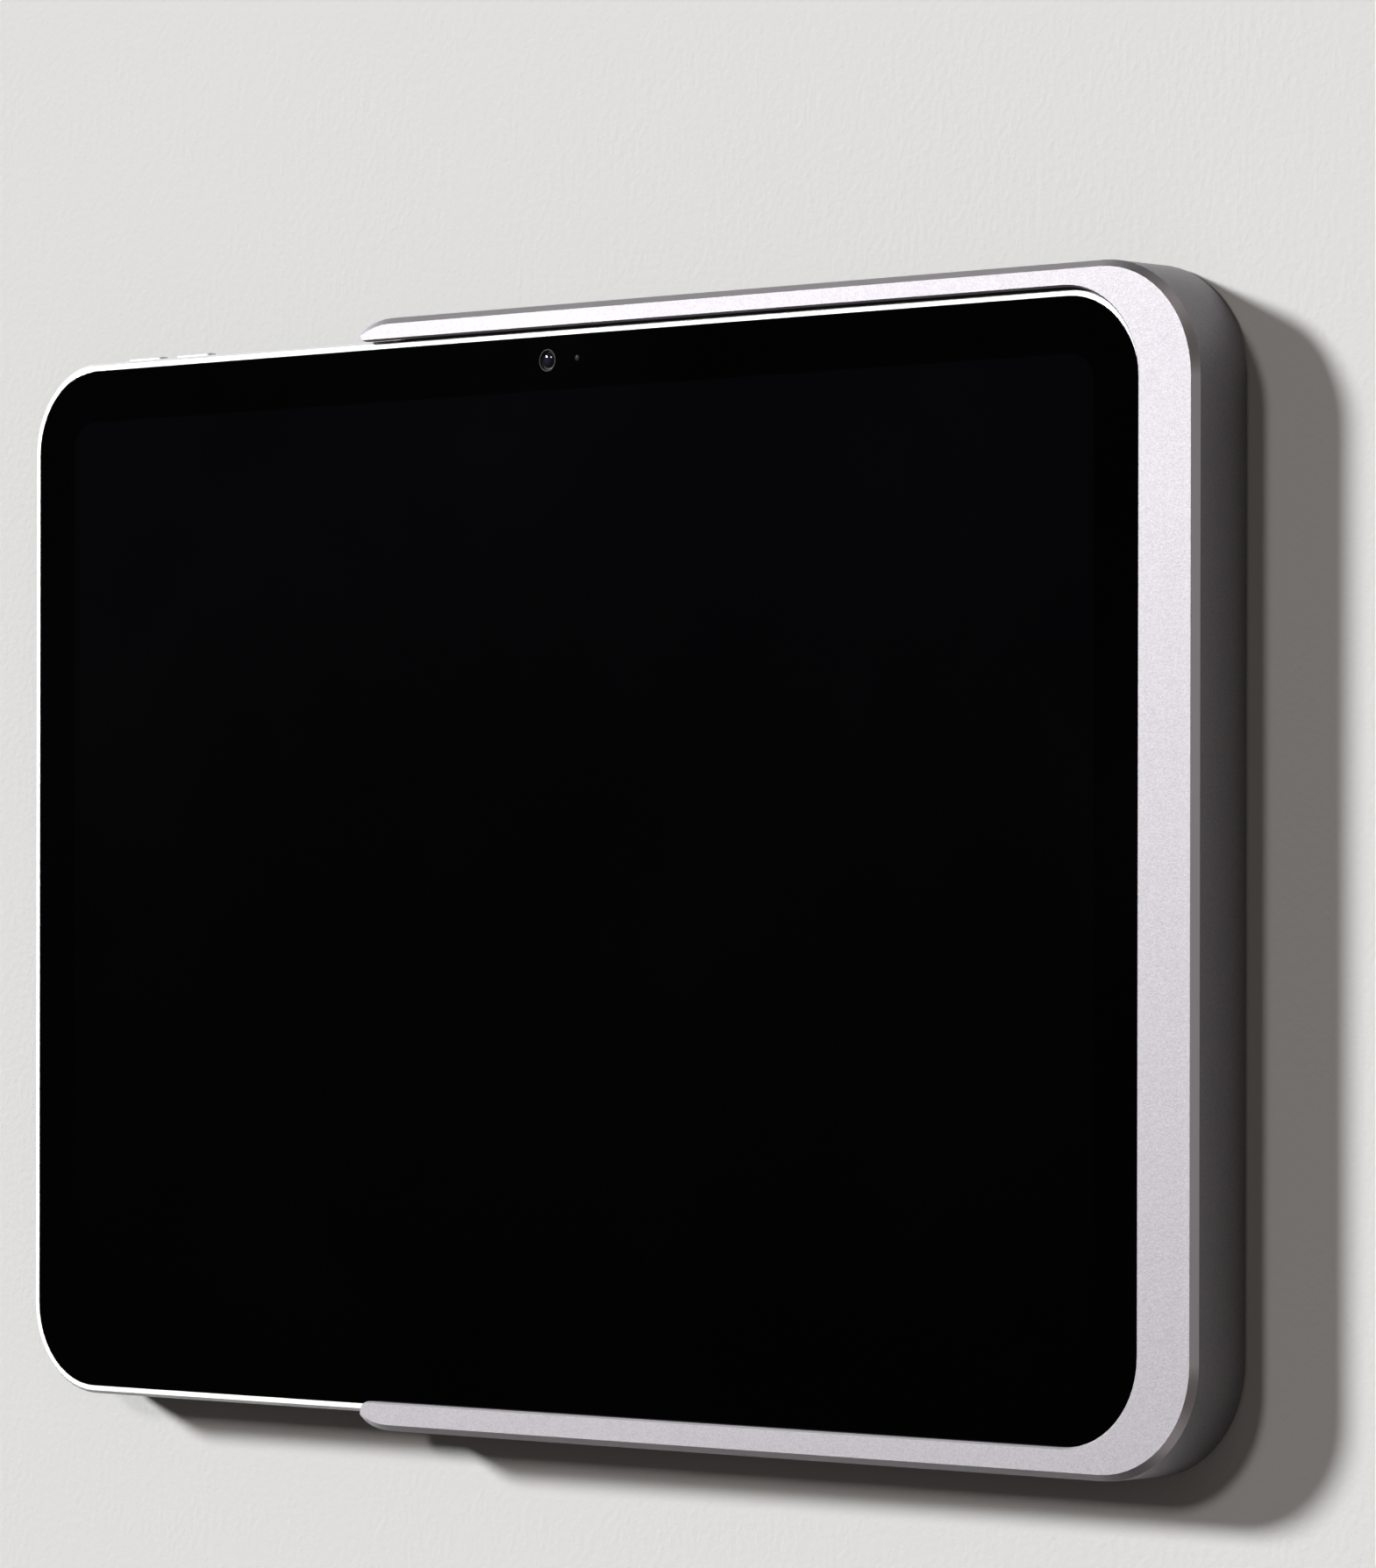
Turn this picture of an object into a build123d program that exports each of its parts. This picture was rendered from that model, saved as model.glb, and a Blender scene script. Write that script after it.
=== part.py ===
# Wall dock with a landscape tablet pushed into it from the left.
# Frame: +X to the right seen from the room, +Z up, and the wall is the plane Y = 0.
# Every depth below is a distance from the wall towards the room, which is along -Y.
# The origin is the centre of the dock's back, where the wall screws are centred.
import os

from build123d import *

# How far a cut runs past the face it opens, and the flat left on a round-edged bar
past = 1.0
flat_side = 0.02

# Tablet, outside sizes
tablet_w = 249.1
tablet_h = 179.5
tablet_t = 7.0
tablet_corner_r = 15.4
tablet_edge_bevel = 0.5

# Tablet shell and glass
rim_band = 1.33
shell_wall = 2.4
shell_back = 0.9
glass_t = 0.75
glass_fit = 0.05
glass_bevel = 0.15
gasket_t = 0.3
display_in_x = 10.45
display_in_z = 10.4
display_t = 1.7
display_corner_r = 5.0

# Dock, outside sizes
dock_d = 13.0
cheek_w = 10.5
wall_above = 3.7
wall_below = 2.93
dock_corner_r = 18.5
arm_corner_r = 15.05
outer_chamfer = 1.05
back_chamfer = 0.4
rim_gap = 0.2

# Slot that takes the tablet, and the lips in front of it
lip_t = 0.95
lip_gap = 0.25
lip_cover_top = 0.05
lip_cover_bottom = 1.9
lip_cover_right = 0.85
lip_corner_r = 14.5
lip_chamfer = 0.3
lip_tip_top_r = 1.35
lip_tip_bottom_r = 2.05
arm_tip_r = 0.7
slot_gap_top = 1.0
slot_gap_bottom = 0.85
slot_gap_end = 1.0
slot_gap_back = 0.6
lead_in = 0.6

# Back web, rear recess and wall plate
web_t = 1.0
rim_t = 3.0
plate_t = 2.6
plate_gap = 0.3
plate_hole_r = 2.25
plate_sink_r = 4.2
plate_sink_t = 1.9
plate_pitch = 120.0
box_pitch = 60.0
box_hole_r = 1.75
box_slot_l = 7.5
cable_hole_r = 19.0
cable_channel_h = 14.0
pin_pitch = 120.0
pin_r = 1.0
pin_grip = 6.0
pin_reach = 2.0
screw_pitch = 100.0
screw_r = 1.0
screw_l = 5.0
screw_recess = 0.4
screw_key_af = 0.9
screw_key_t = 1.2
pin_fit = 0.04
seat_fit = 0.03
inner_gap = 0.1

# Liners, pads and magnets in the slot
liner_t = 0.6
liner_depth = 4.6
liner_end_gap = 14.0
liner_corner_gap = 1.0
bumper_t = 0.7
bumper_depth = 6.2
bumper_h = 60.0
pad_t = 0.6
pad_sunk = 0.3
pad_l = 130.0
pad_h = 9.0
pad_in = 27.75
magnet_w = 16.0
magnet_h = 4.0
magnet_pitch_x = 84.0

# Charging plug and its board in the right cheek
pocket_wall = 1.6
pocket_front = 1.9
pocket_h = 74.0
pocket_r = 1.0
board_t = 1.0
board_h = 66.0
board_depth = 8.4
board_front_gap = 1.0
board_bevel = 0.5
board_screw_in = 3.5
chip_gap = 1.5
plug_shell_w = 8.25
plug_shell_t = 2.4
plug_shell_wall = 0.3
plug_reach = 6.2
plug_body_w = 11.0
plug_body_t = 5.0
plug_body_gap = 0.4
plug_bevel = 0.4
plug_seat = 1.5
window_gap = 0.2
terminal_h = 11.0
terminal_t = 3.1
terminal_depth = 7.6
terminal_hole_r = 1.1
terminal_pitch = 5.1
terminal_bevel = 0.4
converter_t = 2.2
converter_size = 7.0
board_screw_r = 0.8
board_screw_head_r = 1.4
board_screw_head_t = 0.8
board_screw_bite = 1.6

# Port in the tablet's right edge
port_gap = 0.1
port_wall = 0.25
port_l = 7.4
port_mouth_gap = 0.1
port_end_wall = 0.6
tongue_w = 6.7
tongue_t = 0.7
tongue_l = 4.5
port_board_w = 16.0
port_board_h = 26.0

# Volume and power buttons
volume_l = 9.0
volume_t = 2.3
volume_first = 25.5
volume_second = 37.5
power_l = 16.0
power_from_top = 24.0
button_proud = 0.6
button_bevel = 0.2
button_gap = 0.15
button_flange = 0.9
button_flange_t = 0.6
flange_back_gap = 0.2
switch_gap = 0.35
switch_t = 0.9
switch_l = 3.4
bracket_t = 1.2
bracket_depth = 4.4
bracket_over = 2.0

# Cameras, sensor and openings in the shell
front_camera_drop = 5.28
front_camera_left = 0.6
front_camera_r = 2.6
front_camera_t = 2.6
front_camera_cone = 0.8
sensor_offset = 6.1
sensor_size = 2.2
sensor_t = 0.8
rear_camera_in = 16.5
rear_ring_r = 7.2
rear_ring_proud = 1.0
rear_ring_wall = 1.3
rear_ring_bevel = 0.35
rear_lens_sunk = 0.3
rear_lens_t = 0.6
rear_module_t = 3.2
rear_module_bevel = 1.0
rear_mic_r = 0.5
rear_mic_offset = 11.5
speaker_hole_r = 0.65
speaker_pitch = 2.6
speaker_holes = 5
speaker_from_middle = 30.0
speaker_w = 8.5
speaker_h = 20.0
speaker_t = 3.3
speaker_bevel = 1.5

# Inside the tablet
battery_left_gap = 12.9
battery_right_in = 34.9
battery_above = 26.35
battery_below = 18.35
battery_t = 3.1
battery_split = 4.0
battery_corner = 1.0
logic_w = 26.0
logic_h = 84.0
logic_t = 0.9
logic_in = 18.0
logic_corner = 1.5
shield_t = 1.2
shield_inset = 2.0
chip_size = 15.0
chip_t = 1.2
chip_step = 1.5
ribbon_w = 18.0
ribbon_t = 0.25
ribbon_foot = 4.0
case_magnet_h = 3.0
case_magnet_t = 1.4
case_magnet_in = 7.0
contact_r = 1.6
contact_t = 0.5
contact_pitch = 4.4

# Places that follow from the sizes
dock_h = tablet_h + wall_above + wall_below
dock_w = dock_h
tablet_right = dock_w / 2 - cheek_w
tablet_left = tablet_right - tablet_w
tablet_x = (tablet_left + tablet_right) / 2
tablet_bottom = -dock_h / 2 + wall_below
tablet_top = tablet_bottom + tablet_h
tablet_z = (tablet_bottom + tablet_top) / 2
lip_back = dock_d - lip_t
glass_front = lip_back - lip_gap
tablet_back = glass_front - tablet_t
tablet_mid = (glass_front + tablet_back) / 2
web_front = tablet_back - slot_gap_back
web_back = web_front - web_t
inner_back = tablet_back + shell_back
glass_back = glass_front - glass_t
ledge = glass_back - gasket_t
slot_top = tablet_top + slot_gap_top
slot_bottom = tablet_bottom - slot_gap_bottom
slot_end = tablet_right + slot_gap_end
screw_depth = plate_t / 2
far_left = -dock_w
pocket_left = slot_end + pocket_wall
pocket_right = dock_w / 2 - rim_t
pocket_top = dock_d - pocket_front
board_left = pocket_right - board_t
board_mid = pocket_top - board_front_gap - board_depth / 2
recess_edge = dock_h / 2 - rim_t
plate_edge = recess_edge - plate_gap
inside_w = tablet_w - 2 * shell_wall
inside_h = tablet_h - 2 * shell_wall
inside_top = tablet_top - shell_wall
inside_left = tablet_left + shell_wall
inside_right = tablet_right - shell_wall
screw_top = -dock_h / 2 + screw_recess + screw_l
liner_left = -dock_w / 2 + liner_end_gap
liner_right = slot_end - tablet_corner_r - slot_gap_end - liner_corner_gap
liner_low = tablet_mid - liner_depth / 2
liner_high = tablet_mid + liner_depth / 2
pad_x = (slot_end - dock_w / 2) / 2
volume_up_x = tablet_left + volume_first
volume_down_x = tablet_left + volume_second
power_z = tablet_top - power_from_top
front_x = tablet_x - front_camera_left
rear_x = tablet_left + rear_camera_in
rear_z = tablet_top - rear_camera_in
display_w = tablet_w - 2 * display_in_x
display_h = tablet_h - 2 * display_in_z
logic_x = inside_left + logic_in + logic_w / 2
battery_x0 = logic_x + logic_w / 2 + battery_left_gap
battery_x1 = inside_right - battery_right_in
battery_w = (battery_x1 - battery_x0 - battery_split) / 2
battery_z0 = tablet_bottom + shell_wall + battery_below
battery_z1 = inside_top - battery_above
port_bore_w = plug_shell_w + 2 * port_gap
port_bore_t = plug_shell_t + 2 * port_gap
port_outer_w = port_bore_w + 2 * port_wall
port_outer_t = port_bore_t + 2 * port_wall
port_low = tablet_mid - port_outer_t / 2


def room(depth):
    """The plane parallel to the wall at a depth, facing the room."""
    return Plane.XZ.offset(depth)


def slab(width, height, radius, low, high, x=0.0, z=0.0):
    """A rounded rectangle standing parallel to the wall between two depths."""
    outline = room(low) * Pos(x, z) * RectangleRounded(width, height, radius)
    return extrude(outline, high - low)


def block(x0, x1, z0, z1, low, high):
    """A square-edged block from its limits along X and Z and its two depths."""
    centre = Pos((x0 + x1) / 2, -(low + high) / 2, (z0 + z1) / 2)
    return centre * Box(x1 - x0, high - low, z1 - z0)


def disc(x, z, radius, low, high):
    """A round piece whose axis points to the room."""
    return extrude(room(low) * Pos(x, z) * Circle(radius), high - low)


def upright(x, depth, radius, low, high):
    """A round piece whose axis is vertical."""
    return extrude(Plane.XY.offset(low) * Pos(x, -depth) * Circle(radius), high - low)


def sideways(width, thick, low, high):
    """A round-edged bar along X at the port's height, wide along Z and thick in depth."""
    corner = thick / 2 - flat_side / 2
    outline = Plane.YZ.offset(low) * Pos(-tablet_mid, tablet_z)
    return extrude(outline * RectangleRounded(thick, width, corner), high - low)


def side_disc(z, depth, radius, low, high):
    """A round piece whose axis lies along X."""
    return extrude(Plane.YZ.offset(low) * Pos(-depth, z) * Circle(radius), high - low)


def front_edges(piece, depth):
    """The edges that lie in the plane at a depth."""
    return piece.edges().filter_by_position(Axis.Y, -depth - 1e-4, -depth + 1e-4)


def opening_outline(cover_top, cover_bottom, cover_right, radius, grow):
    """Outline of a cut that is open to the left, by how far it covers the tablet."""
    top = tablet_top - cover_top + grow
    bottom = tablet_bottom + cover_bottom - grow
    right = tablet_right - cover_right + grow
    middle = Pos((far_left + right) / 2, (top + bottom) / 2)
    return middle * RectangleRounded(right - far_left, top - bottom, radius + grow)


def dock_outline():
    """The dock's front outline, tighter at the arms' corners than at the cheek's."""
    outline = Rectangle(dock_w, dock_h)
    outline = fillet(outline.vertices().group_by(Axis.X)[-1], dock_corner_r)
    return fillet(outline.vertices().group_by(Axis.X)[0], arm_corner_r)


def arm_layer(cut, top_r, bottom_r, low, high):
    """One depth layer of the arms: the dock's outline less a cut, with its tips rounded."""
    layer = dock_outline() - cut
    upper = [v for v in layer.vertices() if v.Y > 0 and v.X < 0]
    layer = fillet(min(upper, key=lambda v: v.X), top_r)
    lower = [v for v in layer.vertices() if v.Y < 0 and v.X < 0]
    layer = fillet(min(lower, key=lambda v: v.X), bottom_r)
    return extrude(room(low) * layer, high - low)


def dock_housing():
    """The milled dock: back web, slot open to the left, lips, and the recess behind."""
    envelope = extrude(room(rim_gap) * dock_outline(), dock_d - rim_gap)
    envelope = chamfer(front_edges(envelope, dock_d), outer_chamfer)
    envelope = chamfer(front_edges(envelope, rim_gap), back_chamfer)
    slot_corner = tablet_corner_r + slot_gap_end
    slot = opening_outline(-slot_gap_top, -slot_gap_bottom, -slot_gap_end, slot_corner, 0.0)
    throat = opening_outline(lip_cover_top, lip_cover_bottom, lip_cover_right, lip_corner_r, 0.0)
    mouth = opening_outline(
        lip_cover_top, lip_cover_bottom, lip_cover_right, lip_corner_r, lip_chamfer
    )
    body = extrude(room(rim_gap) * dock_outline(), web_front - rim_gap)
    body += arm_layer(slot, arm_tip_r, arm_tip_r, web_front, lip_back)
    body += arm_layer(throat, lip_tip_top_r, lip_tip_bottom_r, lip_back, dock_d)
    body = body & envelope
    bevel = loft([room(dock_d - lip_chamfer) * throat, room(dock_d) * mouth])
    body -= bevel
    body -= slab(2 * recess_edge, 2 * recess_edge, dock_corner_r - rim_t, 0.0, web_back)
    pocket_w = pocket_right - pocket_left
    pocket_x = (pocket_left + pocket_right) / 2
    body -= slab(pocket_w, pocket_h, pocket_r, web_back - past, pocket_top, pocket_x, tablet_z)
    body -= plug_window(slot_end - past, pocket_left + past)
    body -= lead_in_cut()
    for x, z in magnet_places():
        half_w = magnet_w / 2 + seat_fit
        half_h = magnet_h / 2 + seat_fit
        body -= block(x - half_w, x + half_w, z - half_h, z + half_h,
                      web_back - past, web_front + past)
    for z in pad_places():
        low = web_front - pad_sunk
        body -= slab(pad_l, pad_h, pad_h / 4, low, web_front + past, pad_x, z)
    for x in (-pin_pitch / 2, pin_pitch / 2):
        reach = recess_edge + pin_reach + pin_fit
        body -= upright(x, screw_depth, pin_r + pin_fit, recess_edge - past, reach)
    for x in (-screw_pitch / 2, screw_pitch / 2):
        low = -dock_h / 2 - past
        body -= upright(x, screw_depth, screw_r + pin_fit, low, -recess_edge + past)
    for z in board_screw_places():
        deep = pocket_right + board_screw_bite + pin_fit
        body -= side_disc(z, board_mid, board_screw_r + pin_fit, pocket_right - past, deep)
    return body


def lead_in_cut():
    """The bevel along the web's left edge that guides the tablet in."""
    corner = Plane.XY.offset(tablet_bottom) * Pos(-dock_w / 2, -web_front)
    profile = corner * Polyline((0, 0), (lead_in, 0), (0, lead_in), close=True)
    return extrude(make_face(profile), tablet_h)


def plug_window(low, high):
    """The bar along X that makes the plug body's window."""
    width = plug_body_w + 2 * window_gap
    thick = plug_body_t + 2 * window_gap
    return sideways(width, thick, low, high)


def magnet_places():
    """Centres of the magnets in the back web, each behind one in the tablet."""
    reach = inside_h / 2 - case_magnet_in
    columns = (-magnet_pitch_x / 2, magnet_pitch_x / 2)
    return [(x, z) for x in columns for z in (tablet_z - reach, tablet_z + reach)]


def pad_places():
    """Heights of the two felt pads on the back web."""
    reach = tablet_h / 2 - pad_in
    return (tablet_z - reach, tablet_z + reach)


def board_screw_places():
    """Heights of the two screws through the charging board."""
    reach = board_h / 2 - board_screw_in
    return (tablet_z - reach, tablet_z + reach)


def wall_plate():
    """The plate that is screwed to the wall, with its cable opening and channel."""
    plate = slab(2 * plate_edge, 2 * plate_edge, dock_corner_r - rim_t - plate_gap, 0.0, plate_t)
    plate -= disc(0, 0, cable_hole_r, -past, plate_t + past)
    half = cable_channel_h / 2
    plate -= block(0, plate_edge + past, tablet_z - half, tablet_z + half, -past, plate_t + past)
    notch_left = pocket_left - plate_gap
    notch_half = pocket_h / 2 + plate_gap
    plate -= block(notch_left, plate_edge + past, tablet_z - notch_half, tablet_z + notch_half,
                   -past, plate_t + past)
    for x in (-plate_pitch / 2, plate_pitch / 2):
        for z in (-plate_pitch / 2, plate_pitch / 2):
            plate -= disc(x, z, plate_hole_r, -past, plate_t + past)
            sink = Plane.XZ.offset(plate_t - plate_sink_t / 2) * Pos(x, z)
            plate -= sink * Cone(plate_hole_r, plate_sink_r, plate_sink_t)
    for z in (-box_pitch / 2, box_pitch / 2):
        slot = room(-past) * Pos(0, z) * Rot(0, 0, 90) * SlotOverall(box_slot_l, 2 * box_hole_r)
        plate -= extrude(slot, plate_t + 2 * past)
    for x in (-pin_pitch / 2, pin_pitch / 2):
        low = plate_edge - pin_grip
        plate -= upright(x, screw_depth, pin_r + pin_fit, low, plate_edge + past)
    for x in (-screw_pitch / 2, screw_pitch / 2):
        low = -plate_edge - past
        plate -= upright(x, screw_depth, screw_r + pin_fit, low, screw_top + pin_fit)
    return plate


def locating_pins():
    """The two pins in the plate's top edge that carry the housing."""
    pins = Part()
    for x in (-pin_pitch / 2, pin_pitch / 2):
        pin = upright(x, screw_depth, pin_r, plate_edge - pin_grip, recess_edge + pin_reach)
        pins += chamfer(pin.edges().sort_by(Axis.Z)[-1], pin_r / 4)
    return pins


def lock_screws():
    """The two headless screws in the underside that lock the housing to the plate."""
    screws = Part()
    for x in (-screw_pitch / 2, screw_pitch / 2):
        screw = upright(x, screw_depth, screw_r, screw_top - screw_l, screw_top)
        screw = chamfer(screw.edges().sort_by(Axis.Z)[-1], screw_r / 3)
        key = Plane.XY.offset(screw_top - screw_l) * Pos(x, -screw_depth)
        socket = RegularPolygon(screw_key_af / 2, 6, major_radius=False)
        screws += screw - extrude(key * socket, screw_key_t)
    return screws


def bottom_liner():
    """The glide strip under the tablet's lower edge."""
    low = slot_bottom
    strip = block(liner_left, liner_right, low, low + liner_t, liner_low, liner_high)
    return chamfer(strip.edges().group_by(Axis.X)[0], liner_t / 4)


def top_liner():
    """The strip above the tablet's upper edge."""
    strip = block(liner_left, liner_right, slot_top - liner_t, slot_top, liner_low, liner_high)
    return chamfer(strip.edges().group_by(Axis.X)[0], liner_t / 4)


def end_bumper():
    """The soft stop at the slot's right end, with the plug's window through it."""
    half = bumper_h / 2
    low = tablet_mid - bumper_depth / 2
    high = tablet_mid + bumper_depth / 2
    stop = block(slot_end - bumper_t, slot_end, tablet_z - half, tablet_z + half, low, high)
    stop = chamfer(stop.edges().filter_by(Axis.X), bumper_t)
    return stop - plug_window(slot_end - bumper_t - past, slot_end + past)


def back_pads():
    """The two felt pads that the tablet's back slides along."""
    pads = Part()
    low = web_front - pad_sunk
    for z in pad_places():
        pads += slab(pad_l, pad_h, pad_h / 4, low, low + pad_t, pad_x, z)
    return pads


def dock_magnets():
    """The bar magnets set through the back web."""
    bars = Part()
    for x, z in magnet_places():
        bars += block(x - magnet_w / 2, x + magnet_w / 2, z - magnet_h / 2, z + magnet_h / 2,
                      web_back, web_front)
    return bars


def charging_board():
    """The narrow board that stands in the right cheek and carries the plug."""
    half = board_h / 2
    low = board_mid - board_depth / 2
    high = board_mid + board_depth / 2
    board = block(board_left, pocket_right, tablet_z - half, tablet_z + half, low, high)
    board = chamfer(board.edges().filter_by(Axis.X), board_bevel)
    for z in board_screw_places():
        hole_r = board_screw_r + pin_fit
        board -= side_disc(z, board_mid, hole_r, board_left - past, pocket_right + past)
    return board


def board_screws():
    """The two small screws that hold the charging board to the cheek."""
    screws = Part()
    for z in board_screw_places():
        tip = pocket_right + board_screw_bite
        shank = side_disc(z, board_mid, board_screw_r, board_left, tip)
        outer = board_left - board_screw_head_t
        screws += shank + side_disc(z, board_mid, board_screw_head_r, outer, board_left)
    return screws


def converter():
    """The power converter's choke and chip on the charging board."""
    left = board_left - converter_t
    half = converter_size / 2
    choke_z = tablet_z + board_h / 4
    choke = block(left, board_left, choke_z - half, choke_z + half,
                  board_mid - half, board_mid + half)
    choke = chamfer(choke.edges().filter_by(Axis.X), converter_size / 6)
    chip_z = choke_z - converter_size - chip_gap
    chip = block(board_left - converter_t / 2, board_left, chip_z - half / 2, chip_z + half / 2,
                 board_mid - half / 2, board_mid + half / 2)
    return Part() + choke + chip


def terminal_block():
    """The two-pole terminal at the board's lower end, open towards the wall."""
    low_z = tablet_z - board_h / 4 - terminal_h / 2
    low = board_mid - board_depth / 2
    high = low + terminal_depth
    body = block(board_left - terminal_t, board_left, low_z, low_z + terminal_h, low, high)
    body = chamfer(body.edges().filter_by(Axis.Z).sort_by(Axis.X)[:2], terminal_bevel)
    for side in (-1, 1):
        z = low_z + terminal_h / 2 + side * terminal_pitch / 2
        middle = board_left - terminal_t / 2
        body -= disc(middle, z, terminal_hole_r, low - past, low + terminal_depth / 2)
    return body


def plug_body():
    """The plastic body that holds the plug in the window."""
    face = tablet_right + plug_body_gap
    body = sideways(plug_body_w, plug_body_t, face, board_left)
    body = chamfer(body.edges().group_by(Axis.X)[0], plug_bevel)
    return body - sideways(plug_shell_w, plug_shell_t, face - past, face + plug_seat)


def plug_shell():
    """The plug's metal shell, open at its left end."""
    face = tablet_right + plug_body_gap
    tip = tablet_right - plug_reach
    shell = sideways(plug_shell_w, plug_shell_t, tip, face + plug_seat)
    bore_w = plug_shell_w - 2 * plug_shell_wall
    bore_t = plug_shell_t - 2 * plug_shell_wall
    bore = sideways(bore_w, bore_t, tip - past, face)
    shell = chamfer(shell.edges().group_by(Axis.X)[0], plug_shell_wall / 3)
    return shell - bore


def tablet_housing():
    """The tablet's milled shell: a tray with its rim, ports, holes and button slots."""
    shell = slab(tablet_w, tablet_h, tablet_corner_r, tablet_back, glass_front, tablet_x, tablet_z)
    shell = chamfer(front_edges(shell, glass_front), tablet_edge_bevel)
    shell = chamfer(front_edges(shell, tablet_back), tablet_edge_bevel)
    rebate_w = tablet_w - 2 * rim_band
    rebate_h = tablet_h - 2 * rim_band
    rebate_r = tablet_corner_r - rim_band
    shell -= slab(rebate_w, rebate_h, rebate_r, ledge, dock_d, tablet_x, tablet_z)
    inner_r = tablet_corner_r - shell_wall
    shell -= slab(inside_w, inside_h, inner_r, inner_back, dock_d, tablet_x, tablet_z)
    for x in (volume_up_x, volume_down_x):
        shell -= top_slot(x, volume_l, volume_t, button_gap, inside_top - past, tablet_top + past)
    low = tablet_left - past
    shell -= left_slot(power_z, power_l, volume_t, button_gap, low, inside_left + past)
    hole_w = port_outer_w + 2 * seat_fit
    hole_t = port_outer_t + 2 * seat_fit
    shell -= sideways(hole_w, hole_t, inside_right - past, tablet_right + past)
    for z in speaker_hole_places():
        shell -= speaker_hole(z, tablet_left - past)
        shell -= speaker_hole(z, inside_right - past)
    shell -= disc(rear_x, rear_z, rear_ring_r, tablet_back - past, inner_back + past)
    mic_x = rear_x + rear_mic_offset
    shell -= disc(mic_x, rear_z, rear_mic_r, tablet_back - past, inner_back + past)
    for x in contact_places():
        low = tablet_bottom - past
        shell -= upright(x, tablet_mid, contact_r, low, tablet_bottom + contact_t)
    return shell


def speaker_hole(z, low):
    """One small hole through a short edge, with eight sides to keep it light."""
    place = Plane.YZ.offset(low) * Pos(-tablet_mid, z)
    return extrude(place * RegularPolygon(speaker_hole_r, 8), shell_wall + 2 * past)


def top_slot(x, length, thick, grow, low, high):
    """A round-ended bar along Z at the tablet's upper edge."""
    height = thick + 2 * grow
    outline = Plane.XY.offset(low) * Pos(x, -tablet_mid)
    return extrude(outline * SlotOverall(length + 2 * grow, height), high - low)


def left_slot(z, length, thick, grow, low, high):
    """A round-ended bar along X at the tablet's left edge."""
    height = thick + 2 * grow
    outline = Plane.YZ.offset(low) * Pos(-tablet_mid, z) * Rot(0, 0, 90)
    return extrude(outline * SlotOverall(length + 2 * grow, height), high - low)


def speaker_hole_places():
    """Heights of the holes in each short edge, in two rows away from the port."""
    places = []
    for side in (-1, 1):
        middle = tablet_z + side * speaker_from_middle
        for i in range(speaker_holes):
            places.append(middle + (i - (speaker_holes - 1) / 2) * speaker_pitch)
    return places


def contact_places():
    """Places of the accessory contacts along the lower edge."""
    return [tablet_x + i * contact_pitch for i in (-1, 0, 1)]


def cover_glass():
    """The front glass in the shell's rebate."""
    width = tablet_w - 2 * (rim_band + glass_fit)
    height = tablet_h - 2 * (rim_band + glass_fit)
    radius = tablet_corner_r - rim_band - glass_fit
    glass = slab(width, height, radius, glass_back, glass_front, tablet_x, tablet_z)
    return chamfer(front_edges(glass, glass_front), glass_bevel)


def display_gasket():
    """The bonding ring between the shell's ledge and the glass."""
    outer_w = tablet_w - 2 * (rim_band + glass_fit)
    outer_h = tablet_h - 2 * (rim_band + glass_fit)
    outer_r = tablet_corner_r - rim_band - glass_fit
    ring = slab(outer_w, outer_h, outer_r, ledge, glass_back, tablet_x, tablet_z)
    inner_r = tablet_corner_r - shell_wall
    return ring - slab(inside_w, inside_h, inner_r, ledge - past, dock_d, tablet_x, tablet_z)


def display_panel():
    """The display module bonded to the back of the glass."""
    low = glass_back - display_t
    return slab(display_w, display_h, display_corner_r, low, glass_back, tablet_x, tablet_z)


def display_ribbon():
    """The folded ribbon from the display module to the logic board."""
    low = inner_back + shield_t + logic_t
    high = glass_back - display_t
    middle = logic_x + logic_w / 4
    half = ribbon_w / 2
    z0 = tablet_z - logic_h / 4 - half
    z1 = z0 + ribbon_w
    rise = block(middle, middle + ribbon_t, z0, z1, low, high)
    lower = block(middle - ribbon_foot, middle, z0, z1, low, low + ribbon_t)
    upper = block(middle + ribbon_t, middle + ribbon_foot, z0, z1, high - ribbon_t, high)
    return rise + lower + upper


def front_camera():
    """The front camera's barrel behind the glass, near the middle of the upper edge."""
    z = tablet_top - front_camera_drop
    barrel = disc(front_x, z, front_camera_r, glass_back - front_camera_t, glass_back)
    low = glass_back - front_camera_cone
    return barrel - disc(front_x, z, front_camera_r / 2, low, glass_back + past)


def light_sensor():
    """The ambient light sensor beside the front camera."""
    x = tablet_x + sensor_offset
    z = tablet_top - front_camera_drop
    half = sensor_size / 2
    return block(x - half, x + half, z - half, z + half, glass_back - sensor_t, glass_back)


def rear_camera_ring():
    """The raised ring round the rear camera's lens."""
    low = tablet_back - rear_ring_proud
    ring = disc(rear_x, rear_z, rear_ring_r, low, inner_back)
    ring = chamfer(front_edges(ring, low), rear_ring_bevel)
    bore_r = rear_ring_r - rear_ring_wall
    return ring - disc(rear_x, rear_z, bore_r, low - past, inner_back + past)


def rear_camera_lens():
    """The rear camera's cover lens, set into its ring."""
    low = tablet_back - rear_ring_proud + rear_lens_sunk
    return disc(rear_x, rear_z, rear_ring_r - rear_ring_wall, low, low + rear_lens_t)


def rear_camera_module():
    """The rear camera's body inside the ring and the shell."""
    low = tablet_back - rear_ring_proud + rear_lens_sunk + rear_lens_t
    barrel = disc(rear_x, rear_z, rear_ring_r - rear_ring_wall, low, inner_back)
    half = rear_ring_r
    base = block(rear_x - half, rear_x + half, rear_z - half, rear_z + half,
                 inner_back, inner_back + rear_module_t)
    return barrel + chamfer(base.edges().filter_by(Axis.Y), rear_module_bevel)


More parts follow.
